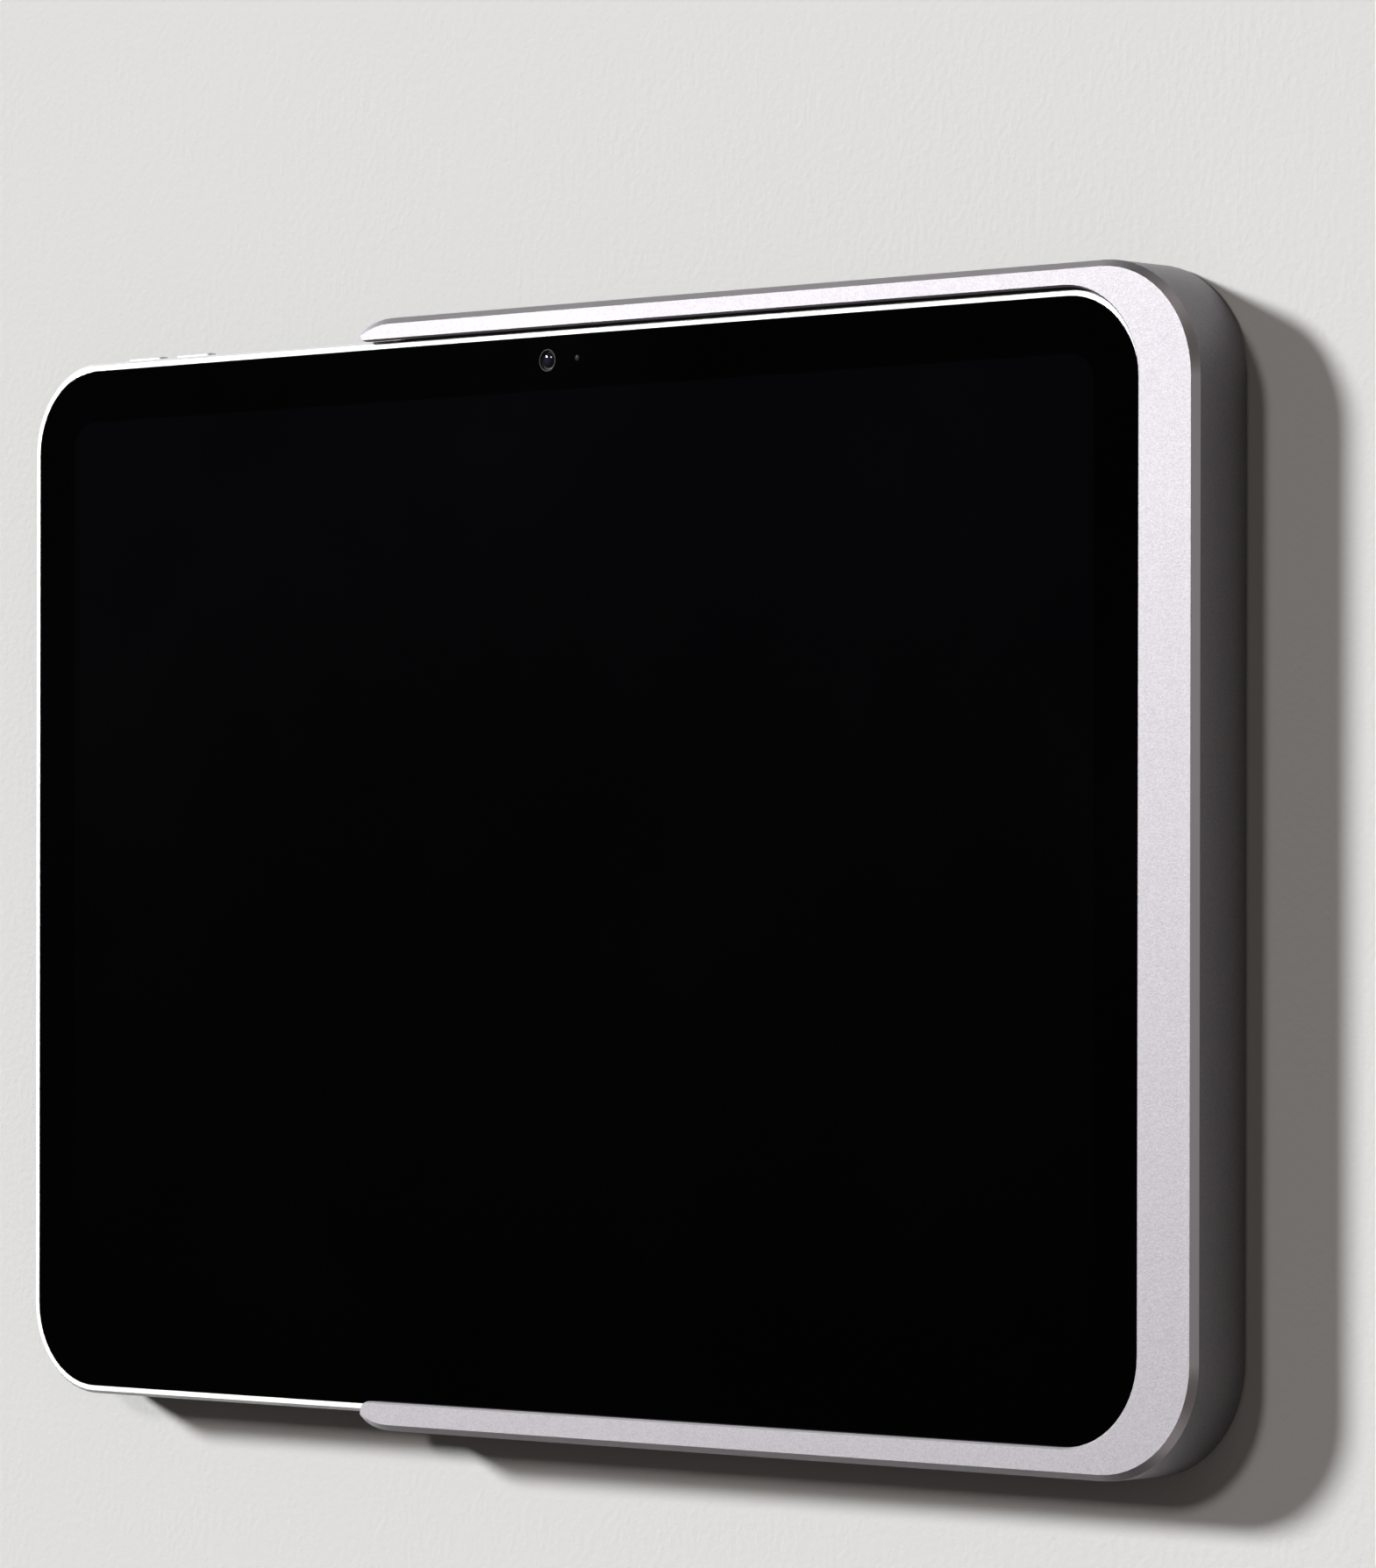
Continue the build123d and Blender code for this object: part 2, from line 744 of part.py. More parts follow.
def battery_cell(side):
    """One of the two flat cells, to the left (-1) or right (1) of the middle."""
    x = (battery_x0 + battery_x1) / 2 + side * (battery_w + battery_split) / 2
    high = inner_back + battery_t
    cell = block(x - battery_w / 2, x + battery_w / 2, battery_z0, battery_z1, inner_back, high)
    cell = chamfer(cell.edges().filter_by(Axis.Y), battery_corner)
    return chamfer(front_edges(cell, high), battery_t / 6)


def board_shield():
    """The screening can between the logic board and the shell."""
    half_w = logic_w / 2 - shield_inset
    half_h = logic_h / 2 - shield_inset
    return block(logic_x - half_w, logic_x + half_w, tablet_z - half_h, tablet_z + half_h,
                 inner_back, inner_back + shield_t)


def logic_board():
    """The main board, above its screening can."""
    low = inner_back + shield_t
    board = block(logic_x - logic_w / 2, logic_x + logic_w / 2,
                  tablet_z - logic_h / 2, tablet_z + logic_h / 2, low, low + logic_t)
    return chamfer(board.edges().filter_by(Axis.Y), logic_corner)


def processor():
    """The processor and memory on the main board."""
    low = inner_back + shield_t + logic_t
    z = tablet_z + logic_h / 4
    half = chip_size / 2
    lower = block(logic_x - half, logic_x + half, z - half, z + half, low, low + chip_t / 2)
    top = half - chip_step
    upper = block(logic_x - top, logic_x + top, z - top, z + top, low + chip_t / 2, low + chip_t)
    return lower + upper


def port_board():
    """The small board under the charging port."""
    half = port_board_h / 2
    x1 = inside_right - inner_gap
    return block(x1 - port_board_w, x1, tablet_z - half, tablet_z + half, inner_back, port_low)


def port_shell():
    """The charging port's metal shell, flush in the right edge."""
    mouth = tablet_right - port_mouth_gap
    back = mouth - port_l
    shell = sideways(port_outer_w, port_outer_t, back, mouth)
    return shell - sideways(port_bore_w, port_bore_t, back + port_end_wall, mouth + past)


def port_tongue():
    """The contact tongue in the charging port."""
    back = tablet_right - port_mouth_gap - port_l + port_end_wall
    return sideways(tongue_w, tongue_t, back, back + tongue_l)


def speaker(left, upper):
    """One of the four speakers, against the shell behind its holes."""
    x0 = inside_left + inner_gap if left else inside_right - inner_gap - speaker_w
    rows = speaker_hole_places()
    z = rows[speaker_holes + speaker_holes // 2] if upper else rows[speaker_holes // 2]
    half = speaker_h / 2
    box = block(x0, x0 + speaker_w, z - half, z + half, inner_back, inner_back + speaker_t)
    return chamfer(box.edges().filter_by(Axis.Y), speaker_bevel)


def volume_button(x):
    """A volume button: its cap in the shell's slot and its flange inside."""
    flange_top = inside_top - flange_back_gap
    cap = top_slot(x, volume_l, volume_t, 0.0, flange_top, tablet_top + button_proud)
    cap = chamfer(cap.edges().group_by(Axis.Z)[-1], button_bevel)
    half_l = volume_l / 2 + button_flange
    half_t = volume_t / 2 + button_flange
    flange = block(x - half_l, x + half_l, flange_top - button_flange_t, flange_top,
                   tablet_mid - half_t, tablet_mid + half_t)
    return cap + flange


def power_button():
    """The power button in the left edge."""
    flange_left = inside_left + flange_back_gap
    low = tablet_left - button_proud
    cap = left_slot(power_z, power_l, volume_t, 0.0, low, flange_left)
    cap = chamfer(cap.edges().group_by(Axis.X)[0], button_bevel)
    half_l = power_l / 2 + button_flange
    half_t = volume_t / 2 + button_flange
    flange = block(flange_left, flange_left + button_flange_t, power_z - half_l, power_z + half_l,
                   tablet_mid - half_t, tablet_mid + half_t)
    return cap + flange


def volume_switches():
    """The two dome switches under the volume buttons."""
    top = inside_top - flange_back_gap - button_flange_t - switch_gap
    switches = Part()
    for x in (volume_up_x, volume_down_x):
        switch = block(x - switch_l / 2, x + switch_l / 2, top - switch_t, top,
                       tablet_mid - volume_t / 2, tablet_mid + volume_t / 2)
        switches += chamfer(switch.edges().group_by(Axis.Z)[-1], switch_t / 3)
    return switches


def volume_bracket():
    """The bracket that carries the volume switches."""
    top = inside_top - flange_back_gap - button_flange_t - switch_gap - switch_t
    x0 = min(volume_up_x, volume_down_x) - volume_l / 2 - bracket_over
    x1 = max(volume_up_x, volume_down_x) + volume_l / 2 + bracket_over
    return block(x0, x1, top - bracket_t, top, inner_back, inner_back + bracket_depth)


def power_switch():
    """The dome switch under the power button."""
    left = inside_left + flange_back_gap + button_flange_t + switch_gap
    switch = block(left, left + switch_t, power_z - switch_l / 2, power_z + switch_l / 2,
                   tablet_mid - volume_t / 2, tablet_mid + volume_t / 2)
    return chamfer(switch.edges().group_by(Axis.X)[0], switch_t / 3)


def power_bracket():
    """The bracket that carries the power switch."""
    left = inside_left + flange_back_gap + button_flange_t + switch_gap + switch_t
    z0 = power_z - power_l / 2 - bracket_over
    z1 = power_z + power_l / 2 + bracket_over
    return block(left, left + bracket_t, z0, z1, inner_back, inner_back + bracket_depth)


def edge_contacts():
    """The three accessory contacts set flush in the lower edge."""
    contacts = Part()
    for x in contact_places():
        contacts += upright(x, tablet_mid, contact_r - seat_fit, tablet_bottom, tablet_bottom + contact_t)
    return contacts


def case_magnets():
    """The tablet's bar magnets along its upper and lower edges, facing the dock's."""
    bars = Part()
    for x, z in magnet_places():
        bars += block(x - magnet_w / 2, x + magnet_w / 2, z - case_magnet_h / 2,
                      z + case_magnet_h / 2, inner_back, inner_back + case_magnet_t)
    return bars


pieces = {
    "dock_housing": dock_housing(),
    "wall_plate": wall_plate(),
    "locating_pins": locating_pins(),
    "lock_screws": lock_screws(),
    "bottom_liner": bottom_liner(),
    "top_liner": top_liner(),
    "end_bumper": end_bumper(),
    "back_pads": back_pads(),
    "dock_magnets": dock_magnets(),
    "charging_board": charging_board(),
    "board_screws": board_screws(),
    "converter": converter(),
    "terminal_block": terminal_block(),
    "plug_body": plug_body(),
    "plug_shell": plug_shell(),
    "tablet_housing": tablet_housing(),
    "cover_glass": cover_glass(),
    "display_gasket": display_gasket(),
    "display_panel": display_panel(),
    "display_ribbon": display_ribbon(),
    "front_camera": front_camera(),
    "light_sensor": light_sensor(),
    "rear_camera_ring": rear_camera_ring(),
    "rear_camera_lens": rear_camera_lens(),
    "rear_camera_module": rear_camera_module(),
    "battery_left": battery_cell(-1),
    "battery_right": battery_cell(1),
    "board_shield": board_shield(),
    "logic_board": logic_board(),
    "processor": processor(),
    "port_board": port_board(),
    "port_shell": port_shell(),
    "port_tongue": port_tongue(),
    "speaker_left_upper": speaker(True, True),
    "speaker_left_lower": speaker(True, False),
    "speaker_right_upper": speaker(False, True),
    "speaker_right_lower": speaker(False, False),
    "volume_up_button": volume_button(volume_up_x),
    "volume_down_button": volume_button(volume_down_x),
    "power_button": power_button(),
    "volume_switches": volume_switches(),
    "volume_bracket": volume_bracket(),
    "power_switch": power_switch(),
    "power_bracket": power_bracket(),
    "edge_contacts": edge_contacts(),
    "case_magnets": case_magnets(),
}

os.makedirs("parts", exist_ok=True)
for name, shape in pieces.items():
    export_step(shape, "parts/" + name + ".step")
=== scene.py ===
"""Looks of a landscape tablet in its milled wall dock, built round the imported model.

Everything is in metres, in the model's own frame: +X to the right seen from the room, +Z up,
and the wall at y = 0 with the room on its -Y side.
"""

import logging
import math
from dataclasses import dataclass
from enum import Enum
from typing import Callable, Dict, List, Sequence, Tuple, Union

import bpy
from mathutils import Matrix, Vector


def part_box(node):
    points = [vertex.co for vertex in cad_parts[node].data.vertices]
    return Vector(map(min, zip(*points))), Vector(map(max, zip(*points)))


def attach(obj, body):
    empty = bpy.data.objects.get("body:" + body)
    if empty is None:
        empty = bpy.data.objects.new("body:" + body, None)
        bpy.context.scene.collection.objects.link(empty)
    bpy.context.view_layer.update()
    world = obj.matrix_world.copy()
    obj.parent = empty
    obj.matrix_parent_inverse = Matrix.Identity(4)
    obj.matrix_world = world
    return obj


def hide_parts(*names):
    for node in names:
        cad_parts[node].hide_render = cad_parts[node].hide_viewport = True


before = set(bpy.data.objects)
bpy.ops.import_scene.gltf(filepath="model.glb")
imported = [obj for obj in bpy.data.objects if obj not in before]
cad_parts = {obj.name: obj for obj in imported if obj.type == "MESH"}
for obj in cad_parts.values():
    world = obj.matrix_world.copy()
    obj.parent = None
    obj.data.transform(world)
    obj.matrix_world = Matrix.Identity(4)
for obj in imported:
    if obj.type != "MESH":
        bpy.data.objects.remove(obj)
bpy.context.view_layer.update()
MM = 0.001
TOUCHING = 1e-6
PACKED_TOUCHING = 2e-6
COPLANAR_DEG = 0.4
FACES_IT = 0.9
LOG = logging.getLogger("wall_tablet")

Colour = Tuple[float, float, float]
Socket = bpy.types.NodeSocket
Feed = Union[float, Socket]
Piece = bpy.types.Object


class Axis(Enum):
    """The direction that a round piece points in."""

    X = (0.0, math.pi / 2, 0.0)
    Y = (math.pi / 2, 0.0, 0.0)
    Z = (0.0, 0.0, 0.0)


class Grain(Enum):
    """How the last tool left a metal surface."""

    BLASTED = "blasted"
    BRUSHED = "brushed"
    PLATED = "plated"


# Bench work: adding, selecting and finishing meshes with operators


def deselect_all() -> None:
    """Leave nothing selected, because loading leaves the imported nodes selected."""
    bpy.ops.object.select_all(action="DESELECT")


def choose(piece: Piece) -> None:
    """Make one piece the only selected one, and the active one."""
    deselect_all()
    piece.select_set(True)
    bpy.context.view_layer.objects.active = piece


def settle(piece: Piece) -> None:
    """Put a piece's place, turn and scale into its mesh."""
    choose(piece)
    bpy.ops.object.transform_apply(location=True, rotation=True, scale=True)


def put_in_scene(name: str, data: bpy.types.ID) -> Piece:
    """Add an object that holds a mesh, a light or a camera."""
    piece = bpy.data.objects.new(name, data)
    bpy.context.scene.collection.objects.link(piece)
    return piece


def just_added(name: str) -> Piece:
    """Name the piece that an operator has just added, and return it."""
    piece = bpy.context.active_object
    piece.name = name
    return piece


def add_block(name: str, low: Vector, high: Vector) -> Piece:
    """Add a block by its lowest and highest corners.

    Args:
        name: The piece's name.
        low: Lowest corner in metres.
        high: Highest corner in metres.

    Returns:
        The new piece, with its place in its mesh.
    """
    deselect_all()
    bpy.ops.mesh.primitive_cube_add(size=1.0, location=(low + high) / 2)
    piece = just_added(name)
    piece.scale = high - low
    settle(piece)
    return piece


def add_round(name: str, centre: Vector, radius: float, length: float, axis: Axis,
              sides: int = 48) -> Piece:
    """Add a round bar by its centre.

    Args:
        name: The piece's name.
        centre: Centre of the bar in metres.
        radius: Its radius in metres.
        length: Its length along the axis in metres.
        axis: The direction it points in.
        sides: How many flats go round it.

    Returns:
        The new piece, with its place in its mesh.
    """
    deselect_all()
    bpy.ops.mesh.primitive_cylinder_add(vertices=sides, radius=radius, depth=length,
                                        location=centre, rotation=axis.value)
    piece = just_added(name)
    settle(piece)
    return piece


def leave() -> None:
    """Go back to object mode after an edit."""
    bpy.ops.object.mode_set(mode="OBJECT")


def edit_all(piece: Piece) -> None:
    """Enter edit mode with everything selected."""
    choose(piece)
    bpy.ops.object.mode_set(mode="EDIT")
    bpy.ops.mesh.select_all(action="SELECT")


def unpick(piece: Piece, kind: str) -> None:
    """Leave nothing selected in a mesh, ready for one kind of element to be picked.

    Args:
        piece: The piece to edit.
        kind: What is picked next, FACE or EDGE.
    """
    choose(piece)
    bpy.ops.object.mode_set(mode="EDIT")
    bpy.ops.mesh.select_mode(type=kind)
    bpy.ops.mesh.select_all(action="DESELECT")
    leave()


def pick(piece: Piece, wanted: Callable[[Vector, Vector], bool]) -> None:
    """Enter edit mode with only the faces selected that a test wants.

    Args:
        piece: The piece to edit.
        wanted: A test of a face's centre and normal.
    """
    unpick(piece, "FACE")
    for face in piece.data.polygons:
        face.select = wanted(face.center, face.normal)
    bpy.ops.object.mode_set(mode="EDIT")


def pick_edges(piece: Piece, wanted: Callable[[Vector, Vector], bool]) -> None:
    """Enter edit mode with only the edges selected that a test wants.

    Args:
        piece: The piece to edit.
        wanted: A test of an edge's two ends.
    """
    unpick(piece, "EDGE")
    points = piece.data.vertices
    for edge in piece.data.edges:
        edge.select = wanted(points[edge.vertices[0]].co, points[edge.vertices[1]].co)
    bpy.ops.object.mode_set(mode="EDIT")


def shift_picked(along: Axis, distance: float, extrude: bool = False) -> None:
    """Move what is picked along one axis, or pull new faces out with it.

    Args:
        along: The axis.
        distance: How far, in metres.
        extrude: Whether new faces are pulled out.
    """
    way = tuple(distance if along is axis else 0.0 for axis in Axis)
    if extrude:
        bpy.ops.mesh.extrude_region_move(TRANSFORM_OT_translate={"value": way})
    else:
        bpy.ops.transform.translate(value=way)


def modify(piece: Piece, kind: str, **settings) -> None:
    """Add a modifier and put its result into the mesh.

    Args:
        piece: The piece to change.
        kind: The modifier's type.
        settings: Attributes of the modifier.
    """
    choose(piece)
    modifier = piece.modifiers.new(kind, kind)
    for title, value in settings.items():
        setattr(modifier, title, value)
    bpy.ops.object.modifier_apply(modifier=modifier.name)


def round_edges(piece: Piece, width: float, segments: int, over_deg: float = 30.0) -> None:
    """Round every edge that turns by more than an angle.

    Args:
        piece: The piece to finish.
        width: Width of the rounding in metres.
        segments: How many faces it is made of.
        over_deg: Edges that turn by less stay as they are.
    """
    modify(piece, "BEVEL", width=width, segments=segments, limit_method="ANGLE",
           angle_limit=math.radians(over_deg), use_clamp_overlap=True,
           miter_outer="MITER_ARC")


def cut_away(piece: Piece, tool: Piece) -> None:
    """Take one piece's space out of another and remove the tool.

    Args:
        piece: The piece that is cut.
        tool: The closed mesh that is taken out of it.
    """
    modify(piece, "BOOLEAN", operation="DIFFERENCE", solver="EXACT", object=tool)
    bpy.data.objects.remove(tool)


def repeat(piece: Piece, step: Tuple[float, float, float], count: int,
           merge_within: float = 0.0) -> None:
    """Copy a piece along a line into its own mesh.

    Args:
        piece: The piece that repeats.
        step: The way from one copy to the next, in metres.
        count: How many there are in all.
        merge_within: Neighbours' points that lie this near become one, in metres.
    """
    modify(piece, "ARRAY", count=count, use_relative_offset=False, use_constant_offset=True,
           constant_offset_displace=step, use_merge_vertices=merge_within > 0.0,
           merge_threshold=merge_within)


def joined(pieces: Sequence[Piece]) -> Piece:
    """Join pieces into the first one and return it."""
    deselect_all()
    for piece in pieces:
        piece.select_set(True)
    bpy.context.view_layer.objects.active = pieces[0]
    bpy.ops.object.join()
    return bpy.context.view_layer.objects.active


def face_outwards(piece: Piece) -> None:
    """Merge doubled points and turn every face outwards."""
    edit_all(piece)
    bpy.ops.mesh.remove_doubles(threshold=TOUCHING)
    bpy.ops.mesh.normals_make_consistent(inside=False)
    leave()


def smooth(piece: Piece, over_deg: float = 30.0) -> None:
    """Shade a piece smooth, apart from edges that turn by more than an angle."""
    choose(piece)
    bpy.ops.object.shade_smooth_by_angle(angle=math.radians(over_deg))


def flatten_faces(piece: Piece) -> None:
    """Weigh normals by face area, so that big faces stay flat beside a fine rounding."""
    modify(piece, "WEIGHTED_NORMAL", mode="FACE_AREA", weight=100, keep_sharp=True)


def refined_copy(node: str, name: str, width: float, segments: int = 2) -> Piece:
    """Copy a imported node, join its loose triangles and round its sharp edges.

    Args:
        node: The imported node's name.
        name: The new piece's name.
        width: Width of the rounding in metres.
        segments: How many faces the rounding has.

    Returns:
        The new piece, in the node's place.
    """
    piece = put_in_scene(name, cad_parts[node].data.copy())
    piece.data.materials.clear()
    edit_all(piece)
    bpy.ops.mesh.remove_doubles(threshold=PACKED_TOUCHING)
    bpy.ops.mesh.dissolve_limited(angle_limit=math.radians(COPLANAR_DEG))
    leave()
    if piece.data.has_custom_normals:
        bpy.ops.mesh.customdata_custom_splitnormals_clear()
    round_edges(piece, width, segments)
    smooth(piece)
    flatten_faces(piece)
    return piece


def hand_over(piece: Piece, body: str, material: bpy.types.Material,
              stands_for: Sequence[str] = ()) -> Piece:
    """Dress a finished piece and give it to the body that it moves with.

    Args:
        piece: The finished piece.
        body: The body it rides on.
        material: Its material.
        stands_for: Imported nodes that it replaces.

    Returns:
        The same piece.
    """
    piece.data.materials.clear()
    piece.data.materials.append(material)
    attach(piece, body)
    if stands_for:
        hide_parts(*stands_for)
    LOG.info("%s rides on %s with %d faces", piece.name, body, len(piece.data.polygons))
    return piece


def dress_node(node: str, material: bpy.types.Material) -> None:
    """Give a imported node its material."""
    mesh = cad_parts[node].data
    mesh.materials.clear()
    mesh.materials.append(material)
    LOG.info("%s is dressed in %s", node, material.name)


# Node trees: a desk that lays out nodes, and the effects that several finishes share


class Desk:
    """A node tree being laid out, with short ways to add and join nodes."""

    MIX_FIRST = 6
    MIX_SECOND = 7
    MIX_RESULT = 2

    def __init__(self, tree: bpy.types.NodeTree) -> None:
        """Take the tree that the nodes go into."""
        self.tree = tree

    def add(self, kind: str, **settings) -> bpy.types.Node:
        """Add a node and set what is named.

        Args:
            kind: The node's type name after ShaderNode.
            settings: Attributes of the node.

        Returns:
            The new node.
        """
        node = self.tree.nodes.new("ShaderNode" + kind)
        for name, value in settings.items():
            setattr(node, name, value)
        return node

    def feed(self, target: Socket, value) -> None:
        """Join a socket to a target, or set the target to a plain value."""
        if isinstance(value, bpy.types.NodeSocket):
            self.tree.links.new(value, target)
        else:
            target.default_value = value

    def sum(self, kind: str, first: Feed, second: Feed = 0.0, clamp: bool = False) -> Socket:
        """Work out one step of arithmetic.

        Args:
            kind: The operation, such as MULTIPLY.
            first: The first number or socket.
            second: The second one.
            clamp: Whether the result stays from 0 to 1.

        Returns:
            The result's socket.
        """
        node = self.add("Math", operation=kind, use_clamp=clamp)
        self.feed(node.inputs[0], first)
        self.feed(node.inputs[1], second)
        return node.outputs[0]

    def span(self, value: Feed, low: Feed, high: Feed, to_low: Feed, to_high: Feed) -> Socket:
        """Stretch one range of values to another, and clamp it there."""
        node = self.add("MapRange")
        for index, item in enumerate((value, low, high, to_low, to_high)):
            self.feed(node.inputs[index], item)
        return node.outputs[0]

    def mix(self, share: Feed, first, second) -> Socket:
        """Mix two colours by a share."""
        node = self.add("Mix", data_type="RGBA")
        self.feed(node.inputs[0], share)
        self.feed(node.inputs[self.MIX_FIRST], first)
        self.feed(node.inputs[self.MIX_SECOND], second)
        return node.outputs[self.MIX_RESULT]

    def place(self) -> Socket:
        """The object's own coordinates, in metres."""
        return self.add("TexCoord").outputs["Object"]

    def noise(self, vector: Socket, scale: Feed, detail: float = 2.0, rough: float = 0.5) -> Socket:
        """A soft noise over the surface, from 0 to 1."""
        node = self.add("TexNoise")
        self.feed(node.inputs["Vector"], vector)
        self.feed(node.inputs["Scale"], scale)
        node.inputs["Detail"].default_value = detail
        node.inputs["Roughness"].default_value = rough
        return node.outputs[0]

    def parts(self, vector: Socket) -> List[Socket]:
        """A vector's three numbers."""
        node = self.add("SeparateXYZ")
        self.feed(node.inputs[0], vector)
        return list(node.outputs)

    def scaled(self, vector: Socket, factors) -> Socket:
        """A vector times another, number by number."""
        node = self.add("VectorMath", operation="MULTIPLY")
        self.feed(node.inputs[0], vector)
        self.feed(node.inputs[1], factors)
        return node.outputs[0]


def tinted(colour: Colour, factor: float = 1.0) -> Tuple[float, float, float, float]:
    """A colour times a factor, with full cover."""
    return (colour[0] * factor, colour[1] * factor, colour[2] * factor, 1.0)


class Effect(Enum):
    """The node groups that more than one finish uses."""

    SPECKLE = "speckle"
    STREAKS = "streaks"
    HANDLING = "handling"
    WINDOW = "rounded_window"
    BEVEL_FACE = "bevel_face"


class EffectShelf:
    """Builds each shared effect once and hands out its group."""

    def __init__(self) -> None:
        """Start with an empty shelf."""
        self.groups: Dict[Effect, bpy.types.NodeTree] = {}

    def get(self, effect: Effect) -> bpy.types.NodeTree:
        """Return an effect's group, built at its first use."""
        if effect not in self.groups:
            makers = {
                Effect.SPECKLE: self._speckle,
                Effect.STREAKS: self._streaks,
                Effect.HANDLING: self._handling,
                Effect.WINDOW: self._window,
                Effect.BEVEL_FACE: self._bevel_face,
            }
            self.groups[effect] = makers[effect]()
        return self.groups[effect]

    def _start(self, name: str, takes: Dict[str, object], gives: Dict[str, str]):
        """Start a group with its sockets.

        Args:
            name: The group's name.
            takes: Input names with their first values.
            gives: Output names with their kinds.

        Returns:
            The desk, the input node and the output node.
        """
        tree = bpy.data.node_groups.new(name, "ShaderNodeTree")
        for title, value in takes.items():
            kind = "NodeSocketFloat"
            if isinstance(value, tuple):
                kind = "NodeSocketColor" if len(value) == 4 else "NodeSocketVector"
            socket = tree.interface.new_socket(name=title, in_out="INPUT", socket_type=kind)
            socket.default_value = value
        for title, kind in gives.items():
            tree.interface.new_socket(name=title, in_out="OUTPUT", socket_type=kind)
        return Desk(tree), tree.nodes.new("NodeGroupInput"), tree.nodes.new("NodeGroupOutput")

    def _speckle(self) -> bpy.types.NodeTree:
        """Fine bright and dark grains, such as blasting leaves."""
        desk, take, give = self._start(
            "speckle",
            {"Scale": 3000.0, "Dark": (0.3, 0.3, 0.3, 1.0), "Light": (0.5, 0.5, 0.5, 1.0)},
            {"Colour": "NodeSocketColor", "Height": "NodeSocketFloat"},
        )
        place = desk.place()
        soft = desk.noise(place, take.outputs["Scale"], 2.0, 0.6)
        cells = desk.add("TexVoronoi")
        desk.feed(cells.inputs["Vector"], place)
        desk.feed(cells.inputs["Scale"], take.outputs["Scale"])
        grain = desk.add("SeparateColor")
        desk.feed(grain.inputs[0], cells.outputs["Color"])
        height = desk.sum("ADD", desk.sum("MULTIPLY", soft, 0.55),
                          desk.sum("MULTIPLY", grain.outputs[0], 0.45))
        share = desk.span(height, 0.25, 0.75, 0.0, 1.0)
        colour = desk.mix(share, take.outputs["Dark"], take.outputs["Light"])
        desk.feed(give.inputs["Colour"], colour)
        desk.feed(give.inputs["Height"], height)
        return desk.tree

    def _streaks(self) -> bpy.types.NodeTree:
        """Fine parallel streaks, long where the stretch is small."""
        desk, take, give = self._start(
            "streaks",
            {"Stretch": (40.0, 4000.0, 4000.0), "Dark": (0.3, 0.3, 0.3, 1.0),
             "Light": (0.5, 0.5, 0.5, 1.0)},
            {"Colour": "NodeSocketColor", "Height": "NodeSocketFloat"},
        )
        place = desk.scaled(desk.place(), take.outputs["Stretch"])
        lines = desk.noise(place, 1.0, 3.0, 0.6)
        share = desk.span(lines, 0.3, 0.7, 0.0, 1.0)
        colour = desk.mix(share, take.outputs["Dark"], take.outputs["Light"])
        desk.feed(give.inputs["Colour"], colour)
        desk.feed(give.inputs["Height"], lines)
        return desk.tree

    def _handling(self) -> bpy.types.NodeTree:
        """Slow changes over a surface, such as handling and cleaning leave."""
        desk, take, give = self._start(
            "handling",
            {"Scale": 25.0, "Low": 0.4, "High": 0.5},
            {"Value": "NodeSocketFloat"},
        )
        clouds = desk.noise(desk.place(), take.outputs["Scale"], 4.0, 0.55)
        value = desk.span(clouds, 0.3, 0.7, take.outputs["Low"], take.outputs["High"])
        desk.feed(give.inputs["Value"], value)
        return desk.tree

    def _window(self) -> bpy.types.NodeTree:
        """A rounded rectangle parallel to the wall: 1 inside it and 0 outside."""
        desk, take, give = self._start(
            "rounded_window",
            {"Centre X": 0.0, "Centre Z": 0.0, "Half Width": 0.1, "Half Height": 0.05,
             "Corner": 0.005, "Softness": 0.0002},
            {"Mask": "NodeSocketFloat"},
        )
        x, _, z = desk.parts(desk.place())
        reach = []
        for value, centre, half in ((x, "Centre X", "Half Width"), (z, "Centre Z", "Half Height")):
            off = desk.sum("ABSOLUTE", desk.sum("SUBTRACT", value, take.outputs[centre]))
            inner = desk.sum("SUBTRACT", take.outputs[half], take.outputs["Corner"])
            reach.append(desk.sum("MAXIMUM", desk.sum("SUBTRACT", off, inner), 0.0))
        squares = desk.sum("ADD", *[desk.sum("POWER", side, 2.0) for side in reach])
        past = desk.sum("SUBTRACT", desk.sum("SQRT", squares), take.outputs["Corner"])
        mask = desk.span(past, 0.0, take.outputs["Softness"], 1.0, 0.0)
        desk.feed(give.inputs["Mask"], mask)
        return desk.tree

    def _bevel_face(self) -> bpy.types.NodeTree:
        """The slanted faces between front and side: 1 on them and 0 elsewhere.

        Upward is from -1 to 1, and Inner is 1 where a face turns towards the object's middle.
        """
        desk, take, give = self._start(
            "bevel_face", {"Facing": 0.707, "Width": 0.12},
            {"Mask": "NodeSocketFloat", "Upward": "NodeSocketFloat", "Inner": "NodeSocketFloat"},
        )
        normal_x, normal_y, normal_z = desk.parts(desk.add("TexCoord").outputs["Normal"])
        x, _, z = desk.parts(desk.place())
        outward = desk.sum("ADD", desk.sum("MULTIPLY", normal_x, x),
                           desk.sum("MULTIPLY", normal_z, z))
        desk.feed(give.inputs["Upward"], normal_z)
        desk.feed(give.inputs["Inner"], desk.sum("LESS_THAN", outward, 0.0))
        facing = desk.sum("ABSOLUTE", normal_y)
        off = desk.sum("ABSOLUTE", desk.sum("SUBTRACT", facing, take.outputs["Facing"]))
        mask = desk.span(off, desk.sum("MULTIPLY", take.outputs["Width"], 0.5),
                         take.outputs["Width"], 1.0, 0.0)
        desk.feed(give.inputs["Mask"], mask)
        return desk.tree


SHELF = EffectShelf()


